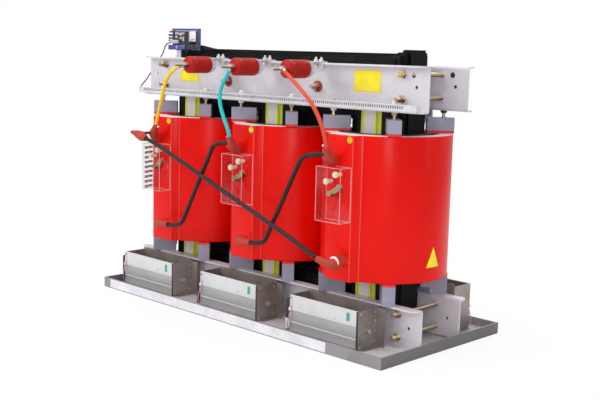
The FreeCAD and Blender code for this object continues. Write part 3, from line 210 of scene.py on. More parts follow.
class Shader(Graph):
    """A material around one Principled shader."""

    def __init__(self, name, **fixed):
        self.material = bpy.data.materials.new(name)
        self.material.use_nodes = True
        super().__init__(self.material.node_tree)
        self.surface = self.tree.nodes["Principled BSDF"]
        self.place = self.node("TexCoord", output="Object")
        self.set(**fixed)

    def set(self, **values):
        """Principled inputs by name, with underscores for spaces."""
        for key, value in values.items():
            self.feed(self.surface.inputs[key.replace("_", " ").title().replace("Ior", "IOR")], value)

    def noise(self, scale, detail=2.0, roughness=0.5, stretch=(1, 1, 1)):
        """Noise between 0 and 1, in cells per metre, stretched along the axes."""
        vector = self.place * stretch
        return self.node("TexNoise", {"Vector": vector, "Scale": scale, "Detail": detail,
                                      "Roughness": roughness}, output="Fac")

    def mix(self, first, second, factor, blend="MIX"):
        """Colour between two colours."""
        return self.node("Mix", {0: factor, 6: first, 7: second}, output=2, data_type="RGBA",
                         blend_type=blend)

    def span(self, value, low, high, to_low=0.0, to_high=1.0):
        """A value carried smoothly from one range to another."""
        return self.node("MapRange", {"Value": value, "From Min": low, "From Max": high,
                                      "To Min": to_low, "To Max": to_high},
                         interpolation_type="SMOOTHSTEP")

    def bump(self, height, distance, before=None):
        """Height in units of distance, as a normal, on top of another normal."""
        inputs = {"Height": height, "Distance": distance, "Strength": 1.0}
        if before is not None:
            inputs["Normal"] = before
        return self.node("Bump", inputs)

    def axis(self, name):
        """One coordinate of the surface point."""
        return self.node("SeparateXYZ", {0: self.place}, output=name)

    def from_phase(self):
        """Distance along X from the middle of the nearest coil."""
        pitch = COIL_X["b"] - COIL_X["a"]
        turn = self.node("Math", {0: self.axis("X"), 1: pitch / 2, 2: -pitch / 2}, operation="WRAP")
        return self.node("Math", {0: turn}, operation="ABSOLUTE")


def darker(colour, share):
    """The same colour with less light."""
    return tuple(channel * share for channel in colour)


def painted(name, colour, roughness=0.34, dirt=0.12, coat=0.15, shaded_side_share=1.0):
    """Sprayed paint: faint orange peel, grey dust in patches, and painted shade on faces turned towards +X.
    """
    shader = Shader(name, coat_weight=coat, coat_roughness=0.2)
    patches = shader.span(shader.noise(7, 4, 0.6), 0.42, 0.7)
    specks = shader.span(shader.noise(160, 3), 0.62, 0.74)
    base = shader.mix(tuple(colour), darker(colour, 1 - dirt), patches)
    base = shader.mix(base, darker(colour, 0.72), specks * 0.35)
    # Painted shade: faces turned towards +X are darkened, standing in for their unlit side.
    if shaded_side_share < 1:
        turned = shader.node("VectorMath", {0: shader.node("TexCoord", output="Normal"), 1: (1, 0, 0)},
                             output="Value", operation="DOT_PRODUCT")
        base = shader.mix(base, darker(colour, shaded_side_share), shader.span(turned, 0.4, 0.9))
    shader.set(base_color=base, roughness=roughness + patches * 0.16 + specks * 0.1)
    shader.set(normal=shader.bump(shader.noise(420, 2), 0.00012))
    return shader.material


def cast_resin():
    """Red cast resin: low gloss, slow waves from the mould, a painted highlight where the top rim catches
    light, and painted highlight lines along the flat face's edges.
    """
    shader = Shader("cast resin", coat_weight=0.05, coat_roughness=0.1, specular_ior_level=0.13)
    colour = colours().resin
    size = sizes()
    cloud = shader.span(shader.noise(3.2, 2, 0.5, (1, 1, 0.55)), 0.3, 0.72)
    base = shader.mix(darker(colour, 0.84), tuple(colour), cloud)
    marks = shader.span(shader.noise(26, 5, 0.65), 0.6, 0.76)
    base = shader.mix(base, (0.62, 0.012, 0.010), marks * 0.35)
    # Painted highlight: pale lines along the edges and roots of the flat face, in front only.
    across = shader.from_phase()
    in_front = shader.axis("Y") < 0
    edge = shader.node("Math", {0: across, 1: size.face_width / 2, 2: 0.0011}, operation="COMPARE")
    root = shader.node("Math", {0: across, 1: size.face_root / 2, 2: 0.0009}, operation="COMPARE")
    base = shader.mix(base, (0.90, 0.14, 0.10), (edge + root) * in_front * 0.55)
    # Painted highlight: the top face is pale where it reflects the bright surroundings.
    top = shader.axis("Z") > COIL_HIGH - 0.0004
    base = shader.mix(base, (0.86, 0.76, 0.74), top)
    shader.set(base_color=base, roughness=0.26 + marks * 0.16 + cloud * 0.06)
    waves = shader.bump(shader.noise(5.5, 1, 0.4, (1, 1, 0.35)), 0.012)
    shader.set(normal=shader.bump(shader.noise(330, 2), 0.0001, waves))
    return shader.material


def insulator_resin():
    """Dark red turned resin with fine tool lines."""
    shader = Shader("insulator resin", coat_weight=0.05, coat_roughness=0.15, specular_ior_level=0.16)
    colour = colours().insulator
    cloud = shader.noise(24, 3)
    shader.set(base_color=shader.mix(darker(colour, 0.7), tuple(colour), cloud))
    lines = shader.node("Math", {0: shader.axis("Y") * 5200}, operation="SINE")
    shader.set(roughness=0.30 + cloud * 0.14, normal=shader.bump(lines + cloud, 0.0001))
    return shader.material


def core_varnish():
    """Black varnished laminations: fine lines across each packet's edge."""
    shader = Shader("core varnish", specular_ior_level=0.12)
    colour = colours().core
    lines = shader.noise(1, 2, 0.5, (3, 2100, 3))
    ridges = shader.span(lines, 0.35, 0.65)
    patches = shader.span(shader.noise(9, 4, 0.6), 0.45, 0.75)
    base = shader.mix(darker(colour, 0.5), tuple(colour), ridges)
    shader.set(base_color=shader.mix(base, (0.022, 0.023, 0.025), patches * ridges))
    shader.set(roughness=0.42 + patches * 0.2 + ridges * 0.1)
    shader.set(normal=shader.bump(lines, 0.0012))
    return shader.material


def moulded(name, colour, grain=260, roughness=0.5, depth=0.0002):
    """Moulded plastic or pressed laminate with an even fine grain."""
    shader = Shader(name)
    cloud = shader.noise(11, 4, 0.6)
    grit = shader.noise(grain, 3)
    base = shader.mix(darker(colour, 0.82), tuple(colour), shader.span(cloud, 0.3, 0.68))
    shader.set(base_color=shader.mix(base, darker(colour, 0.7), shader.span(grit, 0.56, 0.8) * 0.5))
    shader.set(roughness=roughness + grit * 0.14, normal=shader.bump(grit, depth))
    return shader.material


def rubber(name, colour, roughness=0.45, weave=0.0, gloss=0.3):
    """Silicone or rubber sleeve, with a braid where a weave is asked for."""
    shader = Shader(name, specular_ior_level=gloss)
    cloud = shader.noise(40, 3)
    base = shader.mix(darker(colour, 0.78), tuple(colour), cloud)
    scuff = shader.span(shader.noise(90, 4, 0.7, (1, 1, 0.4)), 0.6, 0.78)
    base = shader.mix(base, tuple(min(1, channel * 1.5 + 0.03) for channel in colour), scuff * 0.4)
    shader.set(base_color=base, roughness=roughness + cloud * 0.14 + scuff * 0.1)
    height = shader.noise(230, 2) + scuff
    if weave:
        height = height + shader.node("TexVoronoi", {"Vector": shader.place, "Scale": weave})
    shader.set(normal=shader.bump(height, 0.0002))
    return shader.material


LIT_SIDE = (0.25, -0.40, 0.88)


def plated(name, colour, tint=(0.45, 0.62, 0.45), roughness=0.3, second=None):
    """Zinc plate with the greenish and reddish bloom of chromate, in places another tone, with painted
    shade on faces turned from LIT_SIDE and a painted highlight on faces turned to it.
    """
    shader = Shader(name, metallic=1.0)
    bloom = shader.noise(34, 3)
    base = shader.mix(tuple(colour), tint, shader.span(bloom, 0.5, 0.8) * 0.6)
    if second:
        place = shader.span(shader.noise(6.5, 1, 0.3), 0.47, 0.56)
        base = shader.mix(base, second, place)
    wear = shader.span(shader.noise(190, 4, 0.7), 0.58, 0.74)
    base = shader.mix(base, darker(colour, 0.45), wear * 0.6)
    # Painted shade on faces turned away from LIT_SIDE, painted highlight on faces turned towards it.
    turned = shader.node("VectorMath", {0: shader.node("TexCoord", output="Normal"), 1: LIT_SIDE},
                         output="Value", operation="DOT_PRODUCT")
    base = shader.mix(darker(colour, 0.22), base, shader.span(turned, -0.4, 0.2))
    base = shader.mix(base, (0.98, 0.90, 0.74), shader.span(turned, 0.3, 0.7) * 0.75)
    shader.set(base_color=base, roughness=roughness + bloom * 0.16 + wear * 0.14)
    shader.set(normal=shader.bump(shader.noise(500, 2), 0.0001))
    return shader.material


def brushed(name, colour, along=(2, 180, 180), roughness=0.3, tarnish=(0.36, 0.33, 0.31), share=0.4,
            metallic=1.0):
    """Rolled sheet: lines along its length, and tarnish in slow clouds."""
    shader = Shader(name, metallic=metallic)
    lines = shader.noise(4, 3, 0.6, along)
    cloud = shader.span(shader.noise(6, 4, 0.6), 0.38, 0.7)
    base = shader.mix(tuple(colour), darker(colour, 0.78), lines)
    base = shader.mix(base, tarnish, cloud * share)
    shader.set(base_color=base, roughness=roughness + lines * 0.18 + cloud * 0.12)
    shader.set(normal=shader.bump(lines, 0.0003))
    return shader.material


def strip_laminate():
    """Yellow-green strip with the cloudy look of woven laminate."""
    shader = Shader("strip laminate")
    colour = colours().strip
    cloud = shader.span(shader.noise(14, 4, 0.6, (2, 2, 0.4)), 0.3, 0.7)
    weave = shader.noise(600, 2, 0.5, (1, 1, 0.3))
    base = shader.mix(darker(colour, 0.6), tuple(colour), cloud)
    shader.set(base_color=shader.mix(base, (0.78, 0.80, 0.42), weave * 0.3))
    shader.set(roughness=0.4 + weave * 0.2, normal=shader.bump(weave, 0.0002))
    return shader.material


def acrylic():
    """Clear acrylic with a few hairline scratches."""
    shader = Shader("clear acrylic", ior=1.49, specular_ior_level=0.35)
    scratch = shader.span(shader.noise(70, 5, 0.7, (1, 1, 0.25)), 0.62, 0.7)
    haze = shader.span(shader.noise(9, 2), 0.4, 0.8)
    shader.set(base_color=shader.mix((0.32, 0.05, 0.05), (0.60, 0.40, 0.42), haze))
    shader.set(alpha=0.055 + haze * 0.03 + scratch * 0.07, roughness=0.06 + scratch * 0.2)
    shader.material.surface_render_method = "BLENDED"
    return shader.material


def acrylic_edge():
    """Sawn and polished edge of the acrylic, painted pale as a highlight where it gathers light."""
    shader = Shader("acrylic edge", ior=1.49)
    glow = shader.noise(60, 3)
    shader.set(base_color=shader.mix((0.84, 0.42, 0.42), (0.96, 0.80, 0.80), glow))
    shader.set(alpha=0.50 + glow * 0.3, roughness=0.18 + glow * 0.1)
    shader.material.surface_render_method = "BLENDED"
    return shader.material


def tie_plate_paint():
    """Pale plate; the yellow strips' wavy inner edges lap over its sides."""
    shader = Shader("tie plate paint", specular_ior_level=0.3)
    colour = (0.72, 0.69, 0.74)
    patches = shader.span(shader.noise(7, 4, 0.6), 0.42, 0.7)
    base = shader.mix(colour, darker(colour, 0.86), patches)
    wave = shader.span(shader.noise(1, 2, 0.5, (60, 60, 16)), 0.3, 0.7)
    lap = shader.from_phase() > 0.0275 - wave * 0.008
    base = shader.mix(base, tuple(colours().strip), lap)
    shader.set(base_color=base, roughness=0.4 + patches * 0.14)
    shader.set(normal=shader.bump(shader.noise(420, 2), 0.0001))
    return shader.material


MAKERS = {
    "resin": cast_resin,
    "insulator": insulator_resin,
    "core": core_varnish,
    "strip": strip_laminate,
    "acrylic": acrylic,
    "acrylic edge": acrylic_edge,
    "clamp": lambda: painted("clamp paint", colours().clamp),
    # The frame gets painted shade on its faces towards +X.
    "frame": lambda: painted("frame paint", (0.27, 0.26, 0.28), 0.4, 0.2, shaded_side_share=0.5),
    "floor sheet": lambda: painted("floor sheet paint", (0.64, 0.62, 0.635), 0.3, 0.16, 0.3),
    "tie plate": tie_plate_paint,
    "bracket": lambda: painted("bracket paint", (0.56, 0.545, 0.58), 0.4),
    "blue": lambda: painted("blue paint", (0.035, 0.055, 0.30), 0.35),
    "motor": lambda: painted("motor paint", (0.02, 0.02, 0.022), 0.4),
    "low voltage": lambda: moulded("foil coil resin", (0.075, 0.05, 0.045), 90, 0.5),
    "block": lambda: moulded("block moulding", colours().block, 300, 0.45),
    "pad": lambda: rubber("pad silicone", colours().pad, 0.5),
    "washer": lambda: moulded("washer laminate", (0.45, 0.035, 0.02), 400, 0.4),
    "nylon": lambda: moulded("nylon", (0.80, 0.76, 0.58), 300, 0.35, 0.0001),
    "duct": lambda: moulded("duct plastic", (0.66, 0.65, 0.69), 260, 0.45, 0.0001),
    "black": lambda: moulded("black plastic", (0.022, 0.022, 0.026), 300, 0.42),
    "grey": lambda: moulded("grey plastic", (0.42, 0.42, 0.45), 300, 0.45),
    "white": lambda: moulded("white plastic", (0.80, 0.78, 0.80), 300, 0.4, 0.0001),
    "green": lambda: moulded("green print", (0.03, 0.42, 0.27), 300, 0.5, 0.0001),
    "panel white": lambda: moulded("panel white", (0.80, 0.74, 0.74), 300, 0.4, 0.0001),
    "pink steel": lambda: brushed("pink steel", (0.88, 0.80, 0.80), (2, 120, 120), 0.36,
                                  (0.60, 0.50, 0.50), 0.4),
    "label": lambda: moulded("label film", colours().label, 300, 0.32, 0.00005),
    "film": lambda: moulded("protective film", (0.78, 0.78, 0.83), 120, 0.4, 0.0003),
    "zinc": lambda: plated("yellow zinc", colours().zinc, second=(0.40, 0.24, 0.15)),
    "white zinc": lambda: plated("white zinc", (0.80, 0.79, 0.76), (0.62, 0.66, 0.68), 0.26),
    "tinned": lambda: plated("tinned copper", (0.62, 0.56, 0.50), (0.30, 0.24, 0.20), 0.22),
    "brass": lambda: plated("link brass", (0.36, 0.315, 0.17), (0.24, 0.22, 0.15), 0.3),
    "bar": lambda: brushed("aluminium bar", (0.78, 0.78, 0.80), (60, 4, 4)),
    "rotor": lambda: brushed("fan wheel", (0.66, 0.65, 0.66), (1, 60, 60)),
    "fan sheet": lambda: brushed("fan sheet", (0.44, 0.395, 0.37), (2, 150, 150), 0.34,
                                 (0.20, 0.165, 0.145), 0.8, 0.55),
    "panel": lambda: brushed("panel", (0.60, 0.61, 0.62), (2, 200, 200), 0.34,
                             (0.42, 0.43, 0.44), 0.5, 0.7),
    # Near-white steel: painted highlight on the fans' ribs and top lip.
    "bright": lambda: brushed("painted highlight edge", (0.93, 0.92, 0.92), (2, 200, 200), 0.3,
                              (0.80, 0.78, 0.78), 0.3, 0.2),
    "dark steel": lambda: brushed("dark edge", (0.085, 0.078, 0.073), (200, 200, 2), 0.4,
                                  (0.05, 0.045, 0.04), 0.5, 0.5),
    "name strip": lambda: painted("name strip film", (0.67, 0.695, 0.705), 0.3, 0.1),
    "slot shadow": lambda: painted("slot shadow", (0.30, 0.30, 0.31), 0.6, 0.6, 0.0),
    "boot": lambda: rubber("boot sleeve", colours().boot, 0.42),
    "yellow lead": lambda: rubber("yellow silicone", (0.93, 0.62, 0.012), 0.36),
    "blue lead": lambda: rubber("blue silicone", (0.012, 0.58, 0.60), 0.34),
    "red lead": lambda: rubber("red silicone", (0.70, 0.075, 0.035), 0.38),
    "black link": lambda: rubber("black sleeve", (0.012, 0.012, 0.013), 0.42, 420, 0.3),
    "black cable": lambda: rubber("black cable", (0.010, 0.010, 0.010), 0.4, 0.0, 0.2),
    "fan lead": lambda: rubber("fan lead sleeve", (0.62, 0.32, 0.52), 0.45),
}
FINISHES = {}


def finish(name):
    """A finish by name, made when first asked for."""
    if name not in FINISHES:
        FINISHES[name] = MAKERS[name]()
    return FINISHES[name]


# Mesh tools


def piece(name, form, look, body=ROOT, sharp=32):
    """A finished mesh that rides on a body of the frame."""
    mesh = bpy.data.meshes.new(name)
    bmesh.ops.recalc_face_normals(form, faces=form.faces)
    form.to_mesh(mesh)
    form.free()
    mesh.shade_smooth()
    mesh.set_sharp_from_angle(angle=math.radians(sharp))
    mesh.materials.append(finish(look))
    made = bpy.data.objects.new(name, mesh)
    bpy.context.scene.collection.objects.link(made)
    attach(made, body)
    return made


def coat(look, *names):
    """Give CAD nodes a finish, with soft edges kept soft."""
    for name in names:
        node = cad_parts[name]
        node.data.materials.clear()
        node.data.materials.append(finish(look))
        node.data.shade_smooth()
        node.data.set_sharp_from_angle(angle=math.radians(28))


def add_box(form, low, high, bevel=0.0, segments=2):
    """Rectangular block with rounded edges."""
    low, high = Vector(low), Vector(high)
    size = high - low
    place = Matrix.Translation((low + high) / 2) @ Matrix.Diagonal((*size, 1))
    made = bmesh.ops.create_cube(form, size=1, matrix=place)["verts"]
    if bevel:
        edges = {edge for vert in made for edge in vert.link_edges}
        bmesh.ops.bevel(form, geom=list(edges), offset=bevel, segments=segments, profile=0.5,
                        affect="EDGES", clamp_overlap=True)


def turn_frame(axis):
    """Two directions square to an axis."""
    axis = Vector(axis).normalized()
    side = axis.orthogonal().normalized()
    return side, axis.cross(side)


def add_rings(form, rings, closed_ends=True):
    """Skin between loops of points that all have the same count."""
    loops = [[form.verts.new(point) for point in ring] for ring in rings]
    for first, second in zip(loops, loops[1:]):
        for k in range(len(first)):
            after = (k + 1) % len(first)
            form.faces.new((first[k], first[after], second[after], second[k]))
    if closed_ends:
        form.faces.new(reversed(loops[0]))
        form.faces.new(loops[-1])


def add_turned(form, start, axis, profile, segments=48):
    """Turned form: radius at each distance along the axis from the start."""
    start, axis = Vector(start), Vector(axis).normalized()
    side, other = turn_frame(axis)
    rings = []
    for along, radius in profile:
        centre = start + axis * along
        ring = []
        for k in range(segments):
            angle = math.tau * k / segments
            ring.append(centre + (side * math.cos(angle) + other * math.sin(angle)) * radius)
        rings.append(ring)
    add_rings(form, rings)


def add_rod(form, start, end, radius, segments=24, edge=0.0006):
    """Round bar with a small chamfer at both ends."""
    axis = Vector(end) - Vector(start)
    length = axis.length
    edge = min(edge, radius * 0.4, length * 0.3)
    add_turned(form, start, axis, [(0, radius - edge), (edge, radius), (length - edge, radius),
                                   (length, radius - edge)], segments)


def add_screw(form, point, axis, radius, rise):
    """Domed screw head on a thin washer."""
    profile = [(0, radius * 1.35), (rise * 0.25, radius * 1.35), (rise * 0.25, radius),
               (rise * 0.7, radius * 0.86), (rise, radius * 0.4)]
    add_turned(form, point, axis, profile, 20)


def smooth_path(points, steps):
    """Even curve through points of any dimension, as a list of tuples."""
    ends = [points[0], *points, points[-1]]
    path = []
    for before, start, end, after in zip(ends, ends[1:], ends[2:], ends[3:]):
        for step in range(steps):
            t = step / steps
            path.append(tuple(
                0.5 * (2 * b + (c - a) * t + (2 * a - 5 * b + 4 * c - d) * t * t
                       + (3 * b - a - 3 * c + d) * t ** 3)
                for a, b, c, d in zip(before, start, end, after)))
    path.append(tuple(points[-1]))
    return path


def add_sleeve(form, stations, steps=9, segments=36, wrinkle=0.0009, seed=0.0):
    """Shrunk sleeve along stations of x, y, z and radius, with soft wrinkles."""
    path = smooth_path(stations, steps)
    centres = [Vector(station[:3]) for station in path]
    side = None
    rings = []
    for k, centre in enumerate(centres):
        ahead = centres[min(k + 1, len(centres) - 1)] - centres[max(k - 1, 0)]
        ahead.normalize()
        side = turn_frame(ahead)[0] if side is None else (side - ahead * side.dot(ahead)).normalized()
        other = ahead.cross(side)
        ring = []
        for n in range(segments):
            angle = math.tau * n / segments
            out = side * math.cos(angle) + other * math.sin(angle)
            point = centre + out * path[k][3]
            fold = noise.noise(point * 95 + Vector((seed, 0, 0)))
            crease = noise.noise(Vector((k * 0.9, math.cos(angle) * 1.5, seed + math.sin(angle) * 1.5)))
            ring.append(point + out * wrinkle * (fold + 1.2 * crease))
        rings.append(ring)
    add_rings(form, rings)


# Pieces

TERMINALS = (((-0.025, 0.693), 0.030), ((0.041, 0.331), 0.042))
TAP_PLACES = ((-0.027, 0.622), (-0.027, 0.575), (-0.027, 0.528),
              (0.017, 0.650), (0.017, 0.603), (0.017, 0.556))
TAP_BOSS = [(-0.004, 0.0165), (0.001, 0.0155), (0.003, 0.0125), (0.0085, 0.012), (0.010, 0.0105)]
TAP_BOLT = [(0, 0.0072), (0.024, 0.0072), (0.0245, 0.0105), (0.0262, 0.0118), (0.0325, 0.0118),
            (0.0352, 0.0105), (0.0368, 0.0070)]


def coil_outline(grow):
    """Plan of a coil about its middle: round wall, bevels and flat face, moved out by grow."""
    size = sizes()
    radius = COIL_RADIUS + grow
    root = size.face_root / 2
    face = size.face_width / 2 + grow * 0.4
    root_angle = math.asin(root / radius)
    start = -math.pi / 2 + root_angle
    sweep = math.tau - 2 * root_angle
    around = 132
    points = []
    for k in range(around + 1):
        angle = start + sweep * k / around
        points.append((radius * math.cos(angle), radius * math.sin(angle)))
    depth = FACE_Y - grow
    corner = 0.003
    wall = radius * math.cos(root_angle)
    slope = Vector((root - face, -depth - wall)).normalized()
    for side in (-1, 1):
        bevel = (side * (face + slope.x * corner), depth + slope.y * corner)
        flat = (side * (face - corner), depth)
        middle = (side * (face - corner * 0.2), depth + corner * 0.2)
        points += [bevel, middle, flat] if side < 0 else [flat, middle, bevel]
    return points


def coil_form(centre_x):
    """One cast coil: rounded rims, open bore, terminals and tap bosses."""
    size = sizes()
    form = bmesh.new()
    rim = size.coil_rim
    levels = []
    for z, turn in ((COIL_LOW, 0), (COIL_HIGH, 1)):
        corner = []
        for step in range(5):
            angle = math.pi / 2 * step / 4
            inset = rim * (1 - math.sin(angle))
            lift = rim * (1 - math.cos(angle))
            corner.append((-inset, z - lift if turn else z + lift))
        levels += corner[::-1] if turn else corner
    bottom, top = levels[:5], levels[5:]
    rings = []
    for grow, z in bottom + top:
        rings.append([Vector((centre_x + x, y, z)) for x, y in coil_outline(grow)])
    outline = coil_outline(0)
    for z in (COIL_HIGH, COIL_HIGH - rim, COIL_LOW + rim, COIL_LOW):
        bore = size.coil_bore + (rim * 0.5 if z in (COIL_HIGH, COIL_LOW) else 0)
        ring = []
        for x, y in outline:
            reach = bore / math.hypot(x, y)
            ring.append(Vector((centre_x + x * reach, y * reach, z)))
        rings.append(ring)
    rings.append(rings[0])
    loops = [[form.verts.new(point) for point in ring] for ring in rings[:-1]]
    loops.append(loops[0])
    for first, second in zip(loops, loops[1:]):
        for k in range(len(first)):
            after = (k + 1) % len(first)
            form.faces.new((first[k], first[after], second[after], second[k]))
    for (x, z), length in TERMINALS:
        profile = [(-0.004, 0.021), (0.002, 0.0195), (0.006, 0.0155), (length - 0.002, 0.015),
                   (length, 0.013)]
        add_turned(form, (centre_x + x, FACE_Y, z), (0, -1, 0), profile)
    for x, z in TAP_PLACES:
        add_turned(form, (centre_x + x, FACE_Y, z), (0, -1, 0), TAP_BOSS, 32)
    return form


def build_coils():
    """Cast coils with their bores, and the foil coils inside them."""
    for phase in PHASES:
        coil = piece("cast_coil_" + phase, coil_form(COIL_X[phase]), "resin",
                     sharp=50)
        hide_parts("hv_coil_" + phase)
    coat("low voltage", *phase_nodes("lv_coil_"))


def build_insulators():
    """Ribbed post insulators, one for each high-voltage lead."""
    low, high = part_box("hv_insulators")
    size = sizes()
    radius = (high.z - low.z) / 2
    length = high.y - low.y
    middle = (low.z + high.z) / 2
    spread = (high.x - low.x) / 2 - radius
    round_off = radius * 0.42
    profile = [(0, radius * 0.80), (0.003, radius * 0.93), (0.008, radius)]
    ribbed = length - 0.008 - round_off
    count = size.insulator_ribs * 8
    for step in range(1, count):
        share = step / count
        wave = abs(math.sin(math.pi * size.insulator_ribs * share)) ** 0.45
        fade = min(1, (1 - share) * 5)
        profile.append((0.008 + ribbed * share, radius - size.insulator_groove * (1 - wave) * fade))
    for step in range(9):
        angle = math.pi / 2 * (1 - step / 8)
        profile.append((length - round_off * 0.62 * (1 - math.cos(angle)),
                        radius - round_off * (1 - math.sin(angle))))
    form = bmesh.new()
    seats = bmesh.new()
    for place in (-spread, 0, spread):
        add_turned(form, (place, high.y, middle), (0, -1, 0), profile, 64)
        add_turned(seats, (place, low.y, middle), (0, -1, 0),
                   [(-0.0004, 0.0125), (0.0006, 0.0135), (0.0006, 0.0068)], 32)
    made = piece("post_insulators", form, "insulator", sharp=24)
    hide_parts("hv_insulators")
    piece("insulator_seats", seats, "washer")
    coat("bracket", "insulator_brackets")
    coat("white zinc", "bracket_bolts")
    coat("tinned", "terminal_studs")


# Boots. Each station gives the distance right of the coil's middle, the distance out of its flat
# face, the height and the radius.

TOP_BOOT_A = ((-0.021, 0.001, 0.698, 0.0170), (-0.017, 0.022, 0.706, 0.0198),
              (-0.010, 0.038, 0.719, 0.0192), (0.009, 0.045, 0.743, 0.0136),
              (0.022, 0.048, 0.762, 0.0098))
TOP_BOOT = ((-0.021, 0.001, 0.695, 0.0185), (-0.023, 0.022, 0.701, 0.0225),
            (-0.022, 0.042, 0.713, 0.0215), (-0.015, 0.055, 0.733, 0.0145),
            (-0.008, 0.066, 0.750, 0.0100))
LOW_BOOT_C = ((0.041, 0.029, 0.331, 0.0185), (0.037, 0.048, 0.328, 0.0210),
              (0.029, 0.059, 0.325, 0.0210), (0.001, 0.068, 0.331, 0.0158),
              (-0.030, 0.078, 0.341, 0.0120))
LOW_BOOT = ((0.041, 0.027, 0.333, 0.0185), (0.043, 0.044, 0.336, 0.0208),
            (0.052, 0.052, 0.338, 0.0205), (0.082, 0.054, 0.339, 0.0158),
            (0.113, 0.055, 0.340, 0.0118))
LINK_BOOT = ((-0.008, 0.081, 0.7005, 0.0125), (-0.030, 0.081, 0.7065, 0.0198),
             (-0.052, 0.082, 0.7125, 0.0188), (-0.078, 0.083, 0.7180, 0.0130),
             (-0.106, 0.084, 0.7225, 0.0062))
BOOTS = (("a", TOP_BOOT_A), ("a", LOW_BOOT), ("b", TOP_BOOT), ("b", LOW_BOOT), ("c", TOP_BOOT),
         ("c", LOW_BOOT_C), ("a", LINK_BOOT))
BOOT_TIES = (("a", 0.031, 0.047, 0.752), ("b", -0.030, 0.057, 0.745), ("b", -0.037, 0.048, 0.729),
             ("c", -0.031, 0.057, 0.753), ("c", -0.036, 0.048, 0.733))
TIE = [(0, 0.0022), (0.001, 0.0040), (0.006, 0.0046), (0.0085, 0.0038), (0.0095, 0.0016)]


def boot_stations():
    """Routes of the seven boots: x, y, z and radius along each."""
    return [[(COIL_X[phase] + right, FACE_Y - out, z, radius) for right, out, z, radius in stations]
            for phase, stations in BOOTS]


# Cords. Their routes are the part's own, with a point more near each end of a long straight
# stretch, so that the spline keeps it straight.

CORD_STEPS = 12
LEAD_DIAMETER = 0.015
LINK_DIAMETER = 0.017
CABLE_DIAMETER = 0.005
FAN_LEAD_DIAMETER = 0.004
LEADS = (
    ("hv_lead_a", "yellow lead", "lead_yellow", 0.348,
     ((-0.3175, -0.3385, 1.0152), (-0.366, -0.343, 0.994), (-0.405, -0.347, 0.942),
      (-0.420, -0.347, 0.890), (-0.456, -0.335, 0.829), (-0.494, -0.320, 0.776),
      (-0.512, -0.313, 0.742))),
    ("hv_lead_b", "blue lead", "lead_blue", 0.297,
     ((-0.008, -0.3385, 1.0071), (-0.040, -0.344, 0.962), (-0.059, -0.347, 0.912),
      (-0.051, -0.347, 0.862), (-0.027, -0.344, 0.808), (-0.005, -0.338, 0.760),
      (-0.013, -0.330, 0.735))),
    ("hv_lead_c", "red lead", "lead_red", 0.371,
     ((0.2968, -0.3385, 1.0114), (0.372, -0.346, 0.962), (0.431, -0.349, 0.920),
      (0.473, -0.348, 0.872), (0.499, -0.345, 0.822), (0.514, -0.338, 0.763),
      (0.507, -0.330, 0.737))),
)
LINKS = (
    ("delta_link_ab", 0.594,
     ((-0.021, -0.331, 0.722), (-0.088, -0.344, 0.718), (-0.118, -0.340, 0.672),
      (-0.147, -0.3376, 0.6253), (-0.2579, -0.3286, 0.4468), (-0.290, -0.326, 0.395),
      (-0.322, -0.326, 0.343), (-0.412, -0.324, 0.340))),
    ("delta_link_bc", 0.597,
     ((0.499, -0.331, 0.722), (0.424, -0.344, 0.718), (0.388, -0.340, 0.690),
      (0.3646, -0.3381, 0.6504), (0.2399, -0.3282, 0.4393), (0.212, -0.326, 0.392),
      (0.186, -0.326, 0.343), (0.108, -0.324, 0.340))),
    ("delta_link_ca", 1.124,
     ((-0.575, -0.350, 0.712), (-0.470, -0.352, 0.688), (-0.368, -0.352, 0.6523),
      (0.2705, -0.352, 0.4284), (0.380, -0.352, 0.390), (0.486, -0.348, 0.344))),
)
CONTROLLER_CABLE = ((-0.6055, -0.158, 1.113), (-0.626, -0.160, 1.107), (-0.650, -0.156, 1.091),
                    (-0.684, -0.136, 1.068), (-0.724, -0.112, 1.055), (-0.762, -0.101, 1.036),
                    (-0.792, -0.099, 1.004), (-0.808, -0.112, 0.972), (-0.811, -0.134, 0.942),
                    (-0.812, -0.152, 0.924), (-0.809, -0.167, 0.912), (-0.7995, -0.176, 0.906))
FAN_LEAD = ((0.010, -0.001, 0.118), (0.008, -0.006, 0.096), (0.002, -0.010, 0.070),
            (-0.003, -0.011, 0.044), (-0.006, -0.004, 0.024), (-0.008, 0.014, 0.015))
FAN_LEAD_ROWS = (("front", 1, -0.2775, (-0.7775, -0.2425, 0.2925)),
                 ("rear", -1, 0.3035, (-0.3495, 0.1855, 0.7205)))


def free_cord(name, route, diameter, length, look, slot, node="", **facts):
    """A cord along its route, as one smooth spline."""
    curve = bpy.data.curves.new(name, "CURVE")
    curve.dimensions = "3D"
    spline = curve.splines.new("NURBS")
    spline.points.add(len(route) - 1)
    for point, place in zip(spline.points, route):
        point.co = (*place, 1)
    spline.order_u = 3
    spline.use_endpoint_u = True
    spline.resolution_u = CORD_STEPS
    curve.bevel_depth = diameter / 2
    curve.bevel_resolution = 8
    curve.use_fill_caps = True
    curve.materials.append(finish(look))
    made = bpy.data.objects.new(name, curve)
    bpy.context.scene.collection.objects.link(made)
    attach(made, ROOT)
    if node:
        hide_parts(node)


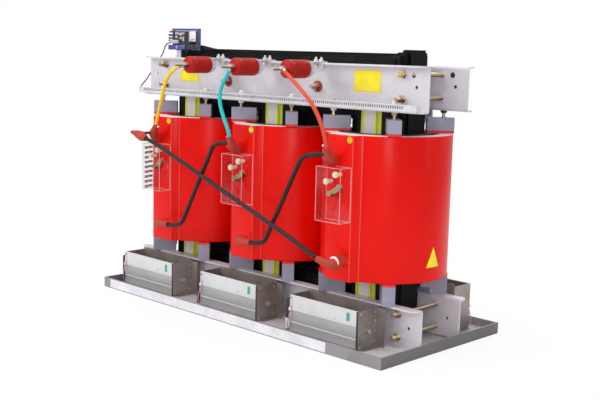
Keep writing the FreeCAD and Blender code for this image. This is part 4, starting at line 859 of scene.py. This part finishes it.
def build_cords():
    """Leads and links of the coils, the controller's cable and the fans' leads."""
    for name, look, slot, length, route in LEADS:
        free_cord(name.replace("hv_", ""), route, LEAD_DIAMETER, length, look, slot, name,
                  stiffness="limp", lay="hanging")
    for name, length, route in LINKS:
        free_cord(name.replace("delta_", ""), route, LINK_DIAMETER, length, "black link",
                  "link_black", name, stiffness="limp", lay="taut")
    free_cord("thin_cable", CONTROLLER_CABLE, CABLE_DIAMETER, 0.364, "black cable", "cable_black",
              "controller_cable", stiffness="medium", lay="hanging")
    for row, side, y, corners in FAN_LEAD_ROWS:
        for phase, x in zip(PHASES, corners):
            route = [(x + side * along, y + side * out, z) for along, out, z in FAN_LEAD]
            node = "fan_leads" if row == "front" and phase == "a" else ""
            free_cord("fan_lead_" + row + "_" + phase, route, FAN_LEAD_DIAMETER, 0.117, "fan lead",
                      "fan_lead_red", node, stiffness="medium", lay="hanging")


def build_boots():
    """Shrunk boots over the terminals, with a loose white ring, ties and the links' stub."""
    form = bmesh.new()
    for number, route in enumerate(boot_stations()):
        add_sleeve(form, route, seed=number * 3.1)
    boots = piece("boots", form, "boot", sharp=60)
    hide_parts("terminal_boots")
    form = bmesh.new()
    x = COIL_X["c"] + 0.039
    add_turned(form, (x - 0.004, FACE_Y - 0.050, 0.333), (0, -1, 0),
               [(0, 0.0205), (0.001, 0.0228), (0.005, 0.0228), (0.006, 0.0205)], 40)
    piece("white_ring", form, "white")
    form = bmesh.new()
    add_turned(form, (x - 0.005, FACE_Y - 0.002, 0.334), (0, -1, 0),
               [(0, 0.0218), (0.040, 0.0215), (0.0475, 0.0200)], 48)
    piece("terminal_boss", form, "boot")
    form = bmesh.new()
    for phase, right, out, z in BOOT_TIES:
        spot = (COIL_X[phase] + right, FACE_Y - out + 0.006, z)
        add_turned(form, spot, (0, -1, 0), TIE, 20)
    piece("boot_ties", form, "white")
    form = bmesh.new()
    x = COIL_X["a"]
    add_rod(form, (x - 0.030, FACE_Y - 0.075, 0.7215), (x + 0.002, FACE_Y - 0.044, 0.7265), 0.0056)
    piece("link_stub", form, "black link")


COVER_SLOTS = 9


def cover_form(centre_x, wall=0.003):
    """Open box of clear sheet, with its back towards the coil."""
    form = bmesh.new()
    half = COVER_HIGH.x - COIL_X["c"]
    low, high = COVER_LOW, COVER_HIGH
    left, right = centre_x - half, centre_x + half
    add_box(form, (left, low.y, low.z), (right, low.y + wall, high.z), 0.0006, 1)
    for x in (left, right - wall):
        add_box(form, (x, low.y + wall, low.z), (x + wall, high.y - 0.0004, high.z), 0.0006, 1)
    for z in (low.z, high.z - wall):
        add_box(form, (left + wall, low.y + wall, z), (right - wall, high.y - 0.0004, z + wall), 0.0006, 1)
    return form


def edge_form(centre_x, wall=0.0016):
    """Painted highlights along a cover's polished edges: one thin bar along each edge of the box."""
    form = bmesh.new()
    half = COVER_HIGH.x - COIL_X["c"]
    low, high = COVER_LOW, COVER_HIGH
    xs = (centre_x - half, centre_x + half - wall)
    ys = (low.y, high.y - wall - 0.0004)
    zs = (low.z, high.z - wall)
    for x in xs:
        for y in ys:
            add_box(form, (x, y, low.z), (x + wall, y + wall, high.z))
        for z in zs:
            add_box(form, (x, low.y, z), (x + wall, high.y - 0.0004, z + wall))
    for y in ys:
        for z in zs:
            add_box(form, (xs[0], y, z), (xs[1] + wall, y + wall, z + wall))
    return form


def build_tap_boards():
    """Clear covers, tap bolts and links on the coils' flat faces."""
    for phase in PHASES:
        x = COIL_X[phase]
        cover = piece("cover_" + phase, cover_form(x), "acrylic")
        if phase == "a":
            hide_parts("tap_covers")
        # Painted highlight along each edge of the cover.
        piece("cover_edges_" + phase, edge_form(x), "acrylic edge")
        form = bmesh.new()
        for tap_x, z in (TAP_PLACES[0], TAP_PLACES[3]):
            seat = FACE_Y - 0.010
            add_turned(form, (x + tap_x, seat, z), (0, -1, 0), TAP_BOLT, 32)
        bolts = piece("nylon_bolts_" + phase, form, "nylon")
        if phase == "a":
            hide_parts("tap_bolts")
    coat("brass", "tap_links")
    # Painted shadow: rows of grey patches on the inside of cover A's left wall.
    form = bmesh.new()
    wall = COVER_LOW.x + 0.0032
    for number in range(COVER_SLOTS):
        z = COVER_HIGH.z - 0.016 - number * 0.0212
        add_box(form, (wall, COVER_LOW.y + 0.010, z - 0.0115), (wall + 0.0006, COVER_LOW.y + 0.029, z))
        add_box(form, (wall, COVER_LOW.y + 0.030, z - 0.0090),
                (wall + 0.0006, COVER_LOW.y + 0.053, z + 0.0015))
    piece("cover_slot_shadows_a", form, "slot shadow")


def build_duct():
    """Slotted wiring duct along the upper clamp, with its cover strip and the cables in it."""
    size = sizes()
    low, high = DUCT_LOW, DUCT_HIGH
    wall = 0.0018
    form = bmesh.new()
    add_box(form, low, (high.x, high.y, low.z + wall))
    add_box(form, (low.x, high.y - wall, low.z + wall), (high.x, high.y, high.z - wall))
    add_box(form, (low.x, low.y, high.z - 0.0040), (high.x, high.y, high.z), 0.0008)
    slot_low = high.z - 0.0150
    add_box(form, (low.x, low.y, low.z + wall), (high.x, low.y + wall, slot_low))
    add_box(form, (low.x, low.y - 0.0004, low.z), (high.x, low.y + 0.0004, low.z + 0.0030))
    for x in (low.x, high.x - wall):
        add_box(form, (x, low.y + wall, low.z + wall), (x + wall, high.y - wall, high.z - 0.0040))
    start = low.x + 0.040
    count = int((high.x - 0.056 - start) / size.slot_pitch)
    edges = [low.x] + [start + k * size.slot_pitch + size.slot_width / 2 for k in range(count + 1)]
    ends = [start + k * size.slot_pitch - size.slot_width / 2 for k in range(count + 1)] + [high.x]
    for left, right in zip(edges, ends):
        add_box(form, (left, low.y, slot_low), (right, low.y + wall, high.z - 0.0040))
    duct = piece("slotted_duct", form, "duct")
    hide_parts("wiring_duct")
    form = bmesh.new()
    for y, z in ((0.0062, 0.0150), (0.0064, 0.0105), (0.0110, 0.0130), (0.0160, 0.0100)):
        add_rod(form, (low.x + 0.22, low.y + y, low.z + z),
                (high.x - 0.06, low.y + y, low.z + z), 0.0030, 12)
    piece("duct_cables", form, "black cable")
    form = bmesh.new()
    for inset in (0.044, 0.020):
        add_box(form, (high.x - inset, low.y - 0.0012, low.z + 0.003),
                (high.x - inset + 0.003, low.y, high.z))
    piece("duct_clips", form, "duct")


ROD_ENDS = ((0.680, 0.926), (0.680, 1.013), (0.703, 0.051), (0.703, 0.138), (0.260, 0.079), (0.260, 0.954))
DOME = [(0, 0.0120), (0.001, 0.0128), (0.006, 0.0124), (0.0095, 0.0100), (0.0112, 0.0072)]
CAP = [(0, 0.0105), (0.001, 0.0118), (0.018, 0.0118), (0.023, 0.0096), (0.0262, 0.0054),
       (0.0270, 0.0020)]
THREAD = [(0, 0.0076), (0.0007, 0.0086), (0.0014, 0.0076)]
THREAD_PITCH = 0.0023
THREADS = 7
JACK_REACH = 0.1478


def build_rod_tips():
    """Thread crests on the free ends of the rods, beyond their nuts."""
    form = bmesh.new()
    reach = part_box("clamp_rods")[1].y
    for x, z in ROD_ENDS:
        for turn in (-1, 1):
            for side in (-1, 1):
                for k in range(THREADS):
                    crest = Vector((turn * x, side * (reach - 0.0022 - k * THREAD_PITCH), z))
                    add_turned(form, crest, (0, -side, 0), THREAD, 24)
    piece("rod_threads", form, "zinc")


def build_clamps():
    """Paint, rods, nuts, washers and bare plates on the clamping channels."""
    coat("clamp", "lower_clamp_front", "lower_clamp_rear", "upper_clamp_front", "upper_clamp_rear")
    coat("zinc", "clamp_rods", "jack_bolts")
    coat("washer", "yoke_bolt_washers")
    web = CLAMP_LOW.y + 0.046
    thick = sizes().plate_thickness
    for name, left, right, low, high in (("plate_right", 0.446, 0.578, 0.943, 1.025),
                                         ("plate_left", -0.582, -0.455, 0.943, 0.992)):
        form = bmesh.new()
        add_box(form, (left, web - thick, low), (right, web - 0.0001, high), 0.0004, 1)
        piece(name, form, "label")
        form = bmesh.new()
        inset = 0.002
        rim = 0.0012
        for z in (low + inset, high - inset - rim):
            add_box(form, (left + inset, web - thick - 0.0003, z),
                    (right - inset, web - thick, z + rim))
        for x in (left + inset, right - inset - rim):
            add_box(form, (x, web - thick - 0.0003, low + inset),
                    (x + rim, web - thick, high - inset))
        piece(name + "_border", form, "grey")
    white, black = bmesh.new(), bmesh.new()
    flange = CLAMP_LOW.z
    for phase in PHASES:
        for side in (-1, 1):
            for depth in (-1, 1):
                spot = Vector((COIL_X[phase] + side * JACK_REACH, depth * JACK_REACH, flange - 0.0001))
                if side < 0:
                    add_turned(white, spot, (0, 0, -1), DOME, 28)
                elif depth > 0:
                    add_turned(black, spot, (0, 0, -1), DOME, 28)
                if depth < 0 and (phase, side) != ("c", -1):
                    add_turned(white, spot + Vector((0, 0, 0.0162)), (0, 0, 1), CAP, 28)
    piece("jack_domes", white, "white")
    piece("jack_domes_dark", black, "black")
    build_rod_tips()
    plugs = bmesh.new()
    for x, z, radius in ((0.725, 1.013, 0.0106), (0.740, 0.970, 0.0066)):
        add_rod(plugs, (x, 0.1150, z), (x, 0.1172, z), radius, 32)
    piece("hole_plugs", plugs, "black")


def build_core():
    """Varnish on the laminated core."""
    coat("core", "core_lower_yoke", "core_upper_yoke", *phase_nodes("core_limb_"))
    coat("tie plate", "tie_plates")
    coat("strip", "tie_plate_insulation")


def build_supports():
    """Blocks and pads above and below the coils."""
    coat("block", "lower_blocks", "upper_blocks")
    coat("pad", "block_pads")


def build_controller():
    """Temperature controller: dark module, terminals and panel in an open blue frame."""
    front, back, rim_back = -0.152, -0.132, -0.143
    form = bmesh.new()
    add_box(form, (-0.604, front, 1.1625), (-0.4165, front + 0.004, 1.1720), 0.0014)
    add_box(form, (-0.604, front, 1.1690), (-0.4165, rim_back, 1.1720), 0.0012)
    add_box(form, (-0.4200, front, 1.0820), (-0.4165, rim_back, 1.1700), 0.0012)
    add_box(form, (-0.4240, front, 1.1560), (-0.4165, front + 0.004, 1.1700), 0.0020)
    add_box(form, (-0.630, front, 1.080), (-0.516, front + 0.003, 1.1005), 0.0008)
    add_box(form, (-0.630, front, 1.080), (-0.516, back, 1.083), 0.0008)
    add_box(form, (-0.4700, front + 0.001, 1.0800), (-0.4165, rim_back, 1.0825), 0.0008)
    for low, high in ((1.1165, 1.1235), (1.1255, 1.1345), (1.1385, 1.1480)):
        add_box(form, (-0.630, front + 0.001, low), (-0.602, back, high), 0.0008)
    frame_piece = piece("controller_sheet", form, "blue")
    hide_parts("controller_frame")
    form = bmesh.new()
    add_box(form, (-0.580, -0.147, 1.0461), (-0.570, -0.139, 1.081), 0.0008)
    add_box(form, (-0.564, -0.147, 1.0461), (-0.554, -0.139, 1.081), 0.0008)
    add_box(form, (-0.588, -0.150, 1.0461), (-0.546, -0.136, 1.0482), 0.0006)
    piece("controller_posts", form, "clamp")
    form = bmesh.new()
    add_box(form, (-0.602, front + 0.002, 1.1045), (-0.487, -0.112, 1.161), 0.0015)
    add_box(form, (-0.602, front + 0.003, 1.0830), (-0.5165, back, 1.1045), 0.0008)
    for k in range(5):
        x = -0.513 + k * 0.0052
        add_box(form, (x, front - 0.0015, 1.108), (x + 0.0028, front + 0.002, 1.158), 0.0005, 1)
    for k in range(6):
        z = 1.109 + k * 0.0084
        add_box(form, (-0.599, front - 0.0008, z), (-0.588, front + 0.002, z + 0.0055), 0.0005, 1)
    add_box(form, (-0.4440, front + 0.003, 1.1020), (-0.4205, rim_back, 1.1620), 0.0006)
    add_box(form, (-0.5160, front + 0.003, 1.0835), (-0.4205, rim_back, 1.1040), 0.0008)
    module = piece("controller_body", form, "black")
    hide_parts("controller_module")
    form = bmesh.new()
    for x, z, width, height in ((-0.584, 1.146, 0.024, 0.0095), (-0.584, 1.131, 0.018, 0.0085),
                                (-0.556, 1.142, 0.020, 0.0125), (-0.552, 1.126, 0.014, 0.0090),
                                (-0.534, 1.148, 0.014, 0.0070), (-0.532, 1.118, 0.010, 0.0190)):
        add_box(form, (x, front + 0.0008, z), (x + width, front + 0.003, z + height), 0.0004, 1)
    add_box(form, (-0.607, front - 0.0115, 1.1065), (-0.553, front + 0.001, 1.1225), 0.0022)
    add_box(form, (-0.598, front - 0.0122, 1.1100), (-0.562, front - 0.0110, 1.1190), 0.0008)
    for k in range(6):
        x = -0.513 + k * 0.0052 - 0.0024
        add_box(form, (x, front + 0.0005, 1.110), (x + 0.0020, front + 0.0026, 1.156), 0.0003, 1)
    piece("controller_terminals", form, "grey")
    form = bmesh.new()
    add_box(form, (-0.4865, front + 0.002, 1.1165), (-0.4450, -0.136, 1.1600), 0.0012)
    piece("controller_panel", form, "panel white")
    form = bmesh.new()
    for x, z in ((-0.479, 1.121), (-0.469, 1.121), (-0.459, 1.123)):
        add_box(form, (x, front - 0.0008, z), (x + 0.006, front + 0.0024, z + 0.006), 0.0006, 1)
    add_box(form, (-0.576, front - 0.0010, 1.0840), (-0.566, front + 0.0002, 1.0990), 0.0004, 1)
    piece("controller_lugs", form, "grey")
    form = bmesh.new()
    add_box(form, (-0.6245, front + 0.001, 1.1540), (-0.602, back, 1.1625), 0.0010)
    piece("controller_tab", form, "pad")
    form = bmesh.new()
    add_sleeve(form, [(-0.475, front - 0.001, 1.118, 0.0016), (-0.462, front - 0.004, 1.108, 0.0016),
                      (-0.452, front - 0.004, 1.098, 0.0016), (-0.447, front - 0.001, 1.084, 0.0016)],
               6, 12, 0.0)
    for lift, reach in ((0.0, 0.0), (0.006, 0.012), (-0.005, 0.020)):
        add_sleeve(form, [(-0.556, -0.128, 1.086 + lift, 0.0042), (-0.520, -0.136, 1.096 + lift, 0.0046),
                          (-0.470, -0.138, 1.095 + lift, 0.0046), (-0.420, -0.130, 1.091 + lift, 0.0042),
                          (-0.372 + reach, -0.108, 1.086, 0.0030)], 6, 14, 0.0)
    piece("controller_loom", form, "black cable")


def build_busbars():
    """Low-voltage bars and standoffs on the rear side."""
    coat("bar", "lv_bars", "neutral_bar")
    coat("insulator", "lv_standoffs")


def build_base():
    """Base frame, floor sheet and the film left on the front rim."""
    coat("frame", "base_frame")
    coat("floor sheet", "base_floor")
    form = bmesh.new()
    front = FRAME_LOW.y
    add_box(form, (-0.775, front - 0.0009, 0.004), (0.560, front - 0.0001, FRAME_HIGH.z - 0.002), 0.0004, 1)
    piece("rim_film", form, "film")


def fan_fittings(side, phase):
    """Panels, screws, bracket, plug and capacitor of one fan; side is -1 in front, 1 behind."""
    place = "front" if side < 0 else "rear"
    node = "fan_housing_%s_%s" % (place, phase)
    low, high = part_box(node)
    coat("fan sheet", node)
    coat("rotor", "fan_rotor_%s_%s" % (place, phase))
    tag = "%s_%s" % (place, phase)
    wheel_low, wheel_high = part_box("fan_rotor_%s_%s" % (place, phase))
    wheel = (wheel_low + wheel_high) / 2
    flip = -side
    face = low.y + 0.006 if side < 0 else high.y - 0.006
    bottom = low.z
    top = high.z - 0.009
    bearing_end = high.x - 0.038 if side < 0 else low.x + 0.038
    motor_end = bearing_end - flip * 0.347

    def point(along, out, z):
        """From the motor end, out of the face, at a height."""
        return Vector((motor_end + flip * along, face + side * out, z))

    def add_span(form, first, second, bevel=0.0004, segments=1):
        """Box between two such points, whichever way round they fall."""
        a, b = point(*first), point(*second)
        add_box(form, [min(p) for p in zip(a, b)], [max(p) for p in zip(a, b)], bevel, segments)

    def span_piece(stem, look, slot, *spans):
        """A piece of such boxes: two points each, then the bevel and segments where given."""
        form = bmesh.new()
        for span in spans:
            add_span(form, *span)
        piece(stem + tag, form, look)

    span_piece("name_strip_", "name strip", "fan_steel",
               ((0.010, 0.0001, bottom + 0.0935), (0.338, 0.0012, top - 0.0035)))
    span_piece("panels_", "panel", "fan_steel",
               ((0.004, 0.0001, bottom + 0.0440), (0.338, 0.0008, bottom + 0.0885)),
               ((0.004, 0.0001, bottom + 0.0050), (0.338, 0.0008, bottom + 0.0385)))
    # Painted highlight: near-white strips on the two ribs and along the top lip.
    lines = [((0.003, 0.0001, z), (0.338, 0.0026, z + 0.0040), 0.0006)
             for z in (bottom + 0.0890, bottom + 0.0390)]
    span_piece("bright_lines_", "bright", "fan_steel", *lines,
               ((0.004, -0.0012, top - 0.0030), (0.340, 0.0018, top + 0.0004), 0.0008))
    span_piece("dark_edge_", "dark steel", "fan_steel",
               ((0.3385, 0.0001, bottom + 0.002), (0.3468, 0.0018, top - 0.001)))
    span_piece("green_patch_", "green", "fan_steel",
               ((0.290, 0.0012, bottom + 0.103), (0.306, 0.0016, top - 0.012), 0.0002))
    span_piece("corner_bracket_", "pink steel", "fan_steel",
               ((-0.002, 0.0001, bottom + 0.098), (0.012, 0.0030, top), 0.001),
               ((-0.002, 0.0001, bottom + 0.006), (0.004, 0.0020, bottom + 0.080), 0.0006))
    # Painted shade: black discs stand in for two open holes in the front.
    form = bmesh.new()
    add_rod(form, point(0.005, 0.003, top - 0.012), point(0.005, 0.0042, top - 0.012), 0.0034)
    add_rod(form, point(0.231, 0.0012, bottom + 0.101), point(0.231, 0.0020, bottom + 0.101), 0.0020)
    piece("dark_holes_" + tag, form, "black")
    form = bmesh.new()
    add_turned(form, point(0.003, 0.0020, bottom + 0.090), (0, side, 0),
               [(0, 0.0060), (0.001, 0.0082), (0.004, 0.0078), (0.006, 0.0040)], 20)
    add_span(form, (-0.004, 0.0001, bottom + 0.083), (0.010, 0.0036, bottom + 0.099), 0.0016, 2)
    piece("lead_plug_" + tag, form, "white")
    form = bmesh.new()
    out = Vector((flip, 0, 0))
    for depth, z in ((0.012, top - 0.012), (0.092, top - 0.016), (0.010, bottom + 0.010),
                     (0.092, bottom + 0.022), (0.095, bottom + 0.060), (0.095, bottom + 0.100)):
        spot = Vector((bearing_end, face - side * depth, z)) + out * 0.002
        add_screw(form, spot, out, 0.0026, 0.0024)
    hub = Vector((bearing_end, wheel.y, wheel.z)) + out * 0.002
    add_turned(form, hub, out, [(0, 0.0135), (0.0016, 0.0135), (0.0018, 0.0092), (0.0085, 0.0088),
                                (0.0098, 0.0075), (0.0100, 0.0058), (0.0075, 0.0054)], 32)
    piece("end_screws_" + tag, form, "white zinc")
    if side > 0:
        return
    span_piece("capacitor_", "black", "motor_black",
               ((-0.032, -0.026, bottom + 0.003), (-0.012, -0.006, bottom + 0.124), 0.002, 2))
    if phase == "c":
        form = bmesh.new()
        add_span(form, (-0.0326, -0.0266, bottom + 0.006), (-0.0114, -0.0054, bottom + 0.048), 0.002, 2)
        piece("capacitor_band", form, "white")


def build_fans():
    """Housings, wheels, motors and fittings of the six cross-flow fans."""
    for side in (-1, 1):
        for phase in PHASES:
            fan_fittings(side, phase)
    coat("motor", "fan_motors")


def build_badges():
    """Phase discs on the coils' flat faces and the bare triangle on the right-hand coil."""
    for number, phase in enumerate(PHASES, 1):
        x, z = COIL_X[phase] + 0.050 - 0.004, 0.776
        form = bmesh.new()
        add_turned(form, (x, FACE_Y - 0.0001, z), (0, -1, 0), [(0, 0.0125), (0.0008, 0.0125)], 40)
        piece("badge_" + phase, form, "label")
        form = bmesh.new()
        rings = []
        for radius, out in ((0.0102, 0.0008), (0.0114, 0.0008), (0.0114, 0.0011), (0.0102, 0.0011)):
            rings.append([Vector((x + radius * math.cos(math.tau * k / 40), FACE_Y - 0.0001 - out,
                                  z + radius * math.sin(math.tau * k / 40))) for k in range(40)])
        add_rings(form, rings + [rings[0]], closed_ends=False)
        bmesh.ops.remove_doubles(form, verts=form.verts, dist=1e-6)
        piece("badge_ring_" + phase, form, "black")
        text = bpy.data.curves.new("badge_number_" + phase, "FONT")
        text.body = str(number)
        text.size = 0.019
        text.extrude = 0.0002
        text.align_x = "CENTER"
        text.align_y = "CENTER"
        figure = bpy.data.objects.new("badge_number_" + phase, text)
        bpy.context.scene.collection.objects.link(figure)
        figure.matrix_world = Matrix.Translation((x, FACE_Y - 0.0012, z)) @ Matrix.Rotation(
            math.pi / 2, 4, "X")
        figure.data.materials.append(finish("black"))
        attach(figure, ROOT)
    build_triangle()


def build_triangle():
    """Bare yellow triangle, bent to the right-hand coil's wall."""
    centre = math.radians(-2.9)
    radius = COIL_RADIUS + 0.0010
    base, height, foot = 0.068, 0.074, 0.309
    rows, columns = 12, 8
    form = bmesh.new()
    grid = []
    for row in range(rows + 1):
        half = base / 2 * (1 - row / rows) + 0.0006
        ring = []
        for column in range(columns + 1):
            angle = centre + half * (2 * column / columns - 1) / radius
            ring.append(form.verts.new((COIL_X["c"] + radius * math.cos(angle), radius * math.sin(angle),
                                        foot + height * row / rows)))
        grid.append(ring)
    for first, second in zip(grid, grid[1:]):
        for k in range(columns):
            form.faces.new((first[k], first[k + 1], second[k + 1], second[k]))
    solid = piece("bare_triangle", form, "label")
    thick = solid.modifiers.new("thickness", "SOLIDIFY")
    thick.thickness = 0.0006
    thick.offset = -1


# Stage


LAMPS = (
    ("key", (-2.6, -4.2, 3.0), (1.6, 2.6), 95),
    ("fill", (3.6, -3.4, 1.9), (1.1, 2.4), 46),
    ("top", (0.0, -0.6, 3.6), (3.2, 2.0), 60),
    ("side", (4.2, 1.6, 1.8), (0.8, 2.2), 6),
    ("rear", (-1.5, 4.2, 2.6), (2.6, 1.8), 45),
)
LAMP_TARGET = Vector((0, 0, 0.55))
CAMERA_AZIMUTH = math.radians(44.2)
CAMERA_ELEVATION = math.radians(8.4)
CAMERA_ROLL = math.radians(1.44)
CAMERA_PLACE = (2.9623, -2.9826, 1.0884)
CAMERA_LENS = 60.59


def build_floor():
    """Pale floor that glows to the camera only, brighter away from the object."""
    shader = Shader("studio floor", specular_ior_level=0.1)
    shader.set(base_color=(0.86, 0.86, 0.86), roughness=0.9 + shader.noise(3) * 0.05)
    camera_ray = shader.node("LightPath", output="Is Camera Ray")
    glow = shader.node("Emission", {"Color": (1, 1, 1), "Strength": 1.0})
    surface = Wire(shader, shader.surface.outputs[0])
    distance = shader.node("VectorMath", {0: shader.place * (1.0, 1.6, 0.0)}, output="Value",
                           operation="LENGTH")
    share = camera_ray * shader.span(distance, 0.6, 1.5, 0.86, 1.0)
    blend = shader.node("MixShader", {0: share, 1: surface, 2: glow})
    output = next(node for node in shader.tree.nodes if node.type == "OUTPUT_MATERIAL")
    shader.feed(output.inputs[0], blend)
    form = bmesh.new()
    bmesh.ops.create_grid(form, x_segments=1, y_segments=1, size=30)
    mesh = bpy.data.meshes.new("studio_floor")
    form.to_mesh(mesh)
    form.free()
    mesh.materials.append(shader.material)
    floor = bpy.data.objects.new("studio_floor", mesh)
    bpy.context.scene.collection.objects.link(floor)


def build_backdrop():
    """White all round, dimmer as a light than as a background."""
    world = bpy.data.worlds.new("studio")
    world.use_nodes = True
    sky = Graph(world.node_tree)
    background = sky.tree.nodes["Background"]
    sky.feed(background.inputs["Color"], (1, 1, 1))
    seen = sky.node("LightPath", output="Is Camera Ray")
    through = sky.node("LightPath", output="Is Transmission Ray")
    clear = sky.node("Math", {0: seen, 1: through}, operation="MAXIMUM")
    sky.feed(background.inputs["Strength"], 0.62 + clear * 0.38)
    bpy.context.scene.world = world


def build_lamps():
    """Soft lamps that all face the object."""
    for name, spot, size, power in LAMPS:
        lamp = bpy.data.lights.new(name, "AREA")
        lamp.shape = "RECTANGLE"
        lamp.size, lamp.size_y = size
        lamp.energy = power
        holder = bpy.data.objects.new(name + "_lamp", lamp)
        holder.location = spot
        holder.rotation_euler = (LAMP_TARGET - Vector(spot)).to_track_quat("-Z", "Y").to_euler()
        bpy.context.scene.collection.objects.link(holder)


def build_camera():
    """The photograph's camera."""
    azimuth, height, roll = CAMERA_AZIMUTH, CAMERA_ELEVATION, CAMERA_ROLL
    back = Vector((math.sin(azimuth) * math.cos(height), -math.cos(azimuth) * math.cos(height),
                   math.sin(height)))
    right = Vector((math.cos(azimuth), math.sin(azimuth), 0))
    up = back.cross(right)
    x_axis = right * math.cos(roll) + up * math.sin(roll)
    y_axis = up * math.cos(roll) - right * math.sin(roll)
    view = bpy.data.cameras.new("photo")
    view.lens = CAMERA_LENS
    view.sensor_width = 36
    view.clip_end = 60
    camera = bpy.data.objects.new("photo_camera", view)
    turn = Matrix((x_axis, y_axis, back)).transposed().to_4x4()
    camera.matrix_world = Matrix.Translation(CAMERA_PLACE) @ turn
    bpy.context.scene.collection.objects.link(camera)
    bpy.context.scene.camera = camera


def build_stage():
    """Floor, backdrop, lamps and camera, shown without a film look."""
    bpy.context.scene.view_settings.view_transform = "Standard"
    build_floor()
    build_backdrop()
    build_lamps()
    build_camera()


# Operators


class TransformerStep:
    """What every building step has in common."""

    bl_options = {"REGISTER", "UNDO"}


class TRANSFORMER_OT_stage(TransformerStep, bpy.types.Operator):
    """Set up the floor, lamps and camera"""

    bl_idname = "transformer.stage"
    bl_label = "Stage"

    def execute(self, context):
        build_stage()
        return {"FINISHED"}


class TRANSFORMER_OT_base(TransformerStep, bpy.types.Operator):
    """Finish the base frame and its floor sheet"""

    bl_idname = "transformer.base"
    bl_label = "Base frame"

    def execute(self, context):
        build_base()
        return {"FINISHED"}


class TRANSFORMER_OT_core(TransformerStep, bpy.types.Operator):
    """Finish the laminated core and its tie plates"""

    bl_idname = "transformer.core"
    bl_label = "Core"

    def execute(self, context):
        build_core()
        return {"FINISHED"}


class TRANSFORMER_OT_clamps(TransformerStep, bpy.types.Operator):
    """Finish the clamping channels, their rods and plates"""

    bl_idname = "transformer.clamps"
    bl_label = "Clamps"

    def execute(self, context):
        build_clamps()
        return {"FINISHED"}


class TRANSFORMER_OT_coils(TransformerStep, bpy.types.Operator):
    """Cast the coils"""

    bl_idname = "transformer.coils"
    bl_label = "Coils"

    def execute(self, context):
        build_coils()
        return {"FINISHED"}


class TRANSFORMER_OT_supports(TransformerStep, bpy.types.Operator):
    """Finish the blocks and pads at the coils"""

    bl_idname = "transformer.supports"
    bl_label = "Coil supports"

    def execute(self, context):
        build_supports()
        return {"FINISHED"}


class TRANSFORMER_OT_insulators(TransformerStep, bpy.types.Operator):
    """Turn the post insulators and finish their brackets and studs"""

    bl_idname = "transformer.insulators"
    bl_label = "Insulators"

    def execute(self, context):
        build_insulators()
        return {"FINISHED"}


class TRANSFORMER_OT_cords(TransformerStep, bpy.types.Operator):
    """Lay the leads, the links and the thin cables"""

    bl_idname = "transformer.cords"
    bl_label = "Cords"

    def execute(self, context):
        build_cords()
        return {"FINISHED"}


class TRANSFORMER_OT_boots(TransformerStep, bpy.types.Operator):
    """Shrink the boots on over the terminals"""

    bl_idname = "transformer.boots"
    bl_label = "Boots"

    def execute(self, context):
        build_boots()
        return {"FINISHED"}


class TRANSFORMER_OT_tap_boards(TransformerStep, bpy.types.Operator):
    """Fit the tap bolts, links and clear covers"""

    bl_idname = "transformer.tap_boards"
    bl_label = "Tap boards"

    def execute(self, context):
        build_tap_boards()
        return {"FINISHED"}


class TRANSFORMER_OT_badges(TransformerStep, bpy.types.Operator):
    """Stick on the phase discs and the bare triangle"""

    bl_idname = "transformer.badges"
    bl_label = "Badges"

    def execute(self, context):
        build_badges()
        return {"FINISHED"}


class TRANSFORMER_OT_duct(TransformerStep, bpy.types.Operator):
    """Lay the slotted wiring duct"""

    bl_idname = "transformer.duct"
    bl_label = "Wiring duct"

    def execute(self, context):
        build_duct()
        return {"FINISHED"}


class TRANSFORMER_OT_controller(TransformerStep, bpy.types.Operator):
    """Fit the temperature controller"""

    bl_idname = "transformer.controller"
    bl_label = "Controller"

    def execute(self, context):
        build_controller()
        return {"FINISHED"}


class TRANSFORMER_OT_busbars(TransformerStep, bpy.types.Operator):
    """Finish the low-voltage bars"""

    bl_idname = "transformer.busbars"
    bl_label = "Low-voltage bars"

    def execute(self, context):
        build_busbars()
        return {"FINISHED"}


class TRANSFORMER_OT_fans(TransformerStep, bpy.types.Operator):
    """Fit out the six cross-flow fans"""

    bl_idname = "transformer.fans"
    bl_label = "Fans"

    def execute(self, context):
        build_fans()
        return {"FINISHED"}


STEPS = (TRANSFORMER_OT_stage, TRANSFORMER_OT_cords, TRANSFORMER_OT_base, TRANSFORMER_OT_core,
         TRANSFORMER_OT_clamps, TRANSFORMER_OT_coils, TRANSFORMER_OT_supports,
         TRANSFORMER_OT_insulators, TRANSFORMER_OT_boots, TRANSFORMER_OT_tap_boards,
         TRANSFORMER_OT_badges, TRANSFORMER_OT_duct, TRANSFORMER_OT_controller,
         TRANSFORMER_OT_busbars, TRANSFORMER_OT_fans)


class TRANSFORMER_PT_panel(bpy.types.Panel):
    """Lists the building steps and the values behind them"""

    bl_idname = "TRANSFORMER_PT_panel"
    bl_label = "Transformer"
    bl_space_type = "VIEW_3D"
    bl_region_type = "UI"
    bl_category = "Transformer"

    def draw(self, context):
        column = self.layout.column(align=True)
        for step in STEPS:
            column.operator(step.bl_idname)
        for group in (context.scene.transformer_sizes, context.scene.transformer_colours):
            box = self.layout.box()
            for name in group.__annotations__:
                box.prop(group, name)


CLASSES = (TransformerSizes, TransformerColours, *STEPS, TRANSFORMER_PT_panel)


def register():
    for item in CLASSES:
        bpy.utils.register_class(item)
    bpy.types.Scene.transformer_sizes = PointerProperty(type=TransformerSizes)
    bpy.types.Scene.transformer_colours = PointerProperty(type=TransformerColours)


def unregister():
    del bpy.types.Scene.transformer_colours
    del bpy.types.Scene.transformer_sizes
    for item in reversed(CLASSES):
        bpy.utils.unregister_class(item)


def main():
    register()
    for step in STEPS:
        family, name = step.bl_idname.split(".")
        getattr(getattr(bpy.ops, family), name)()


if __name__ == "__main__":
    main()
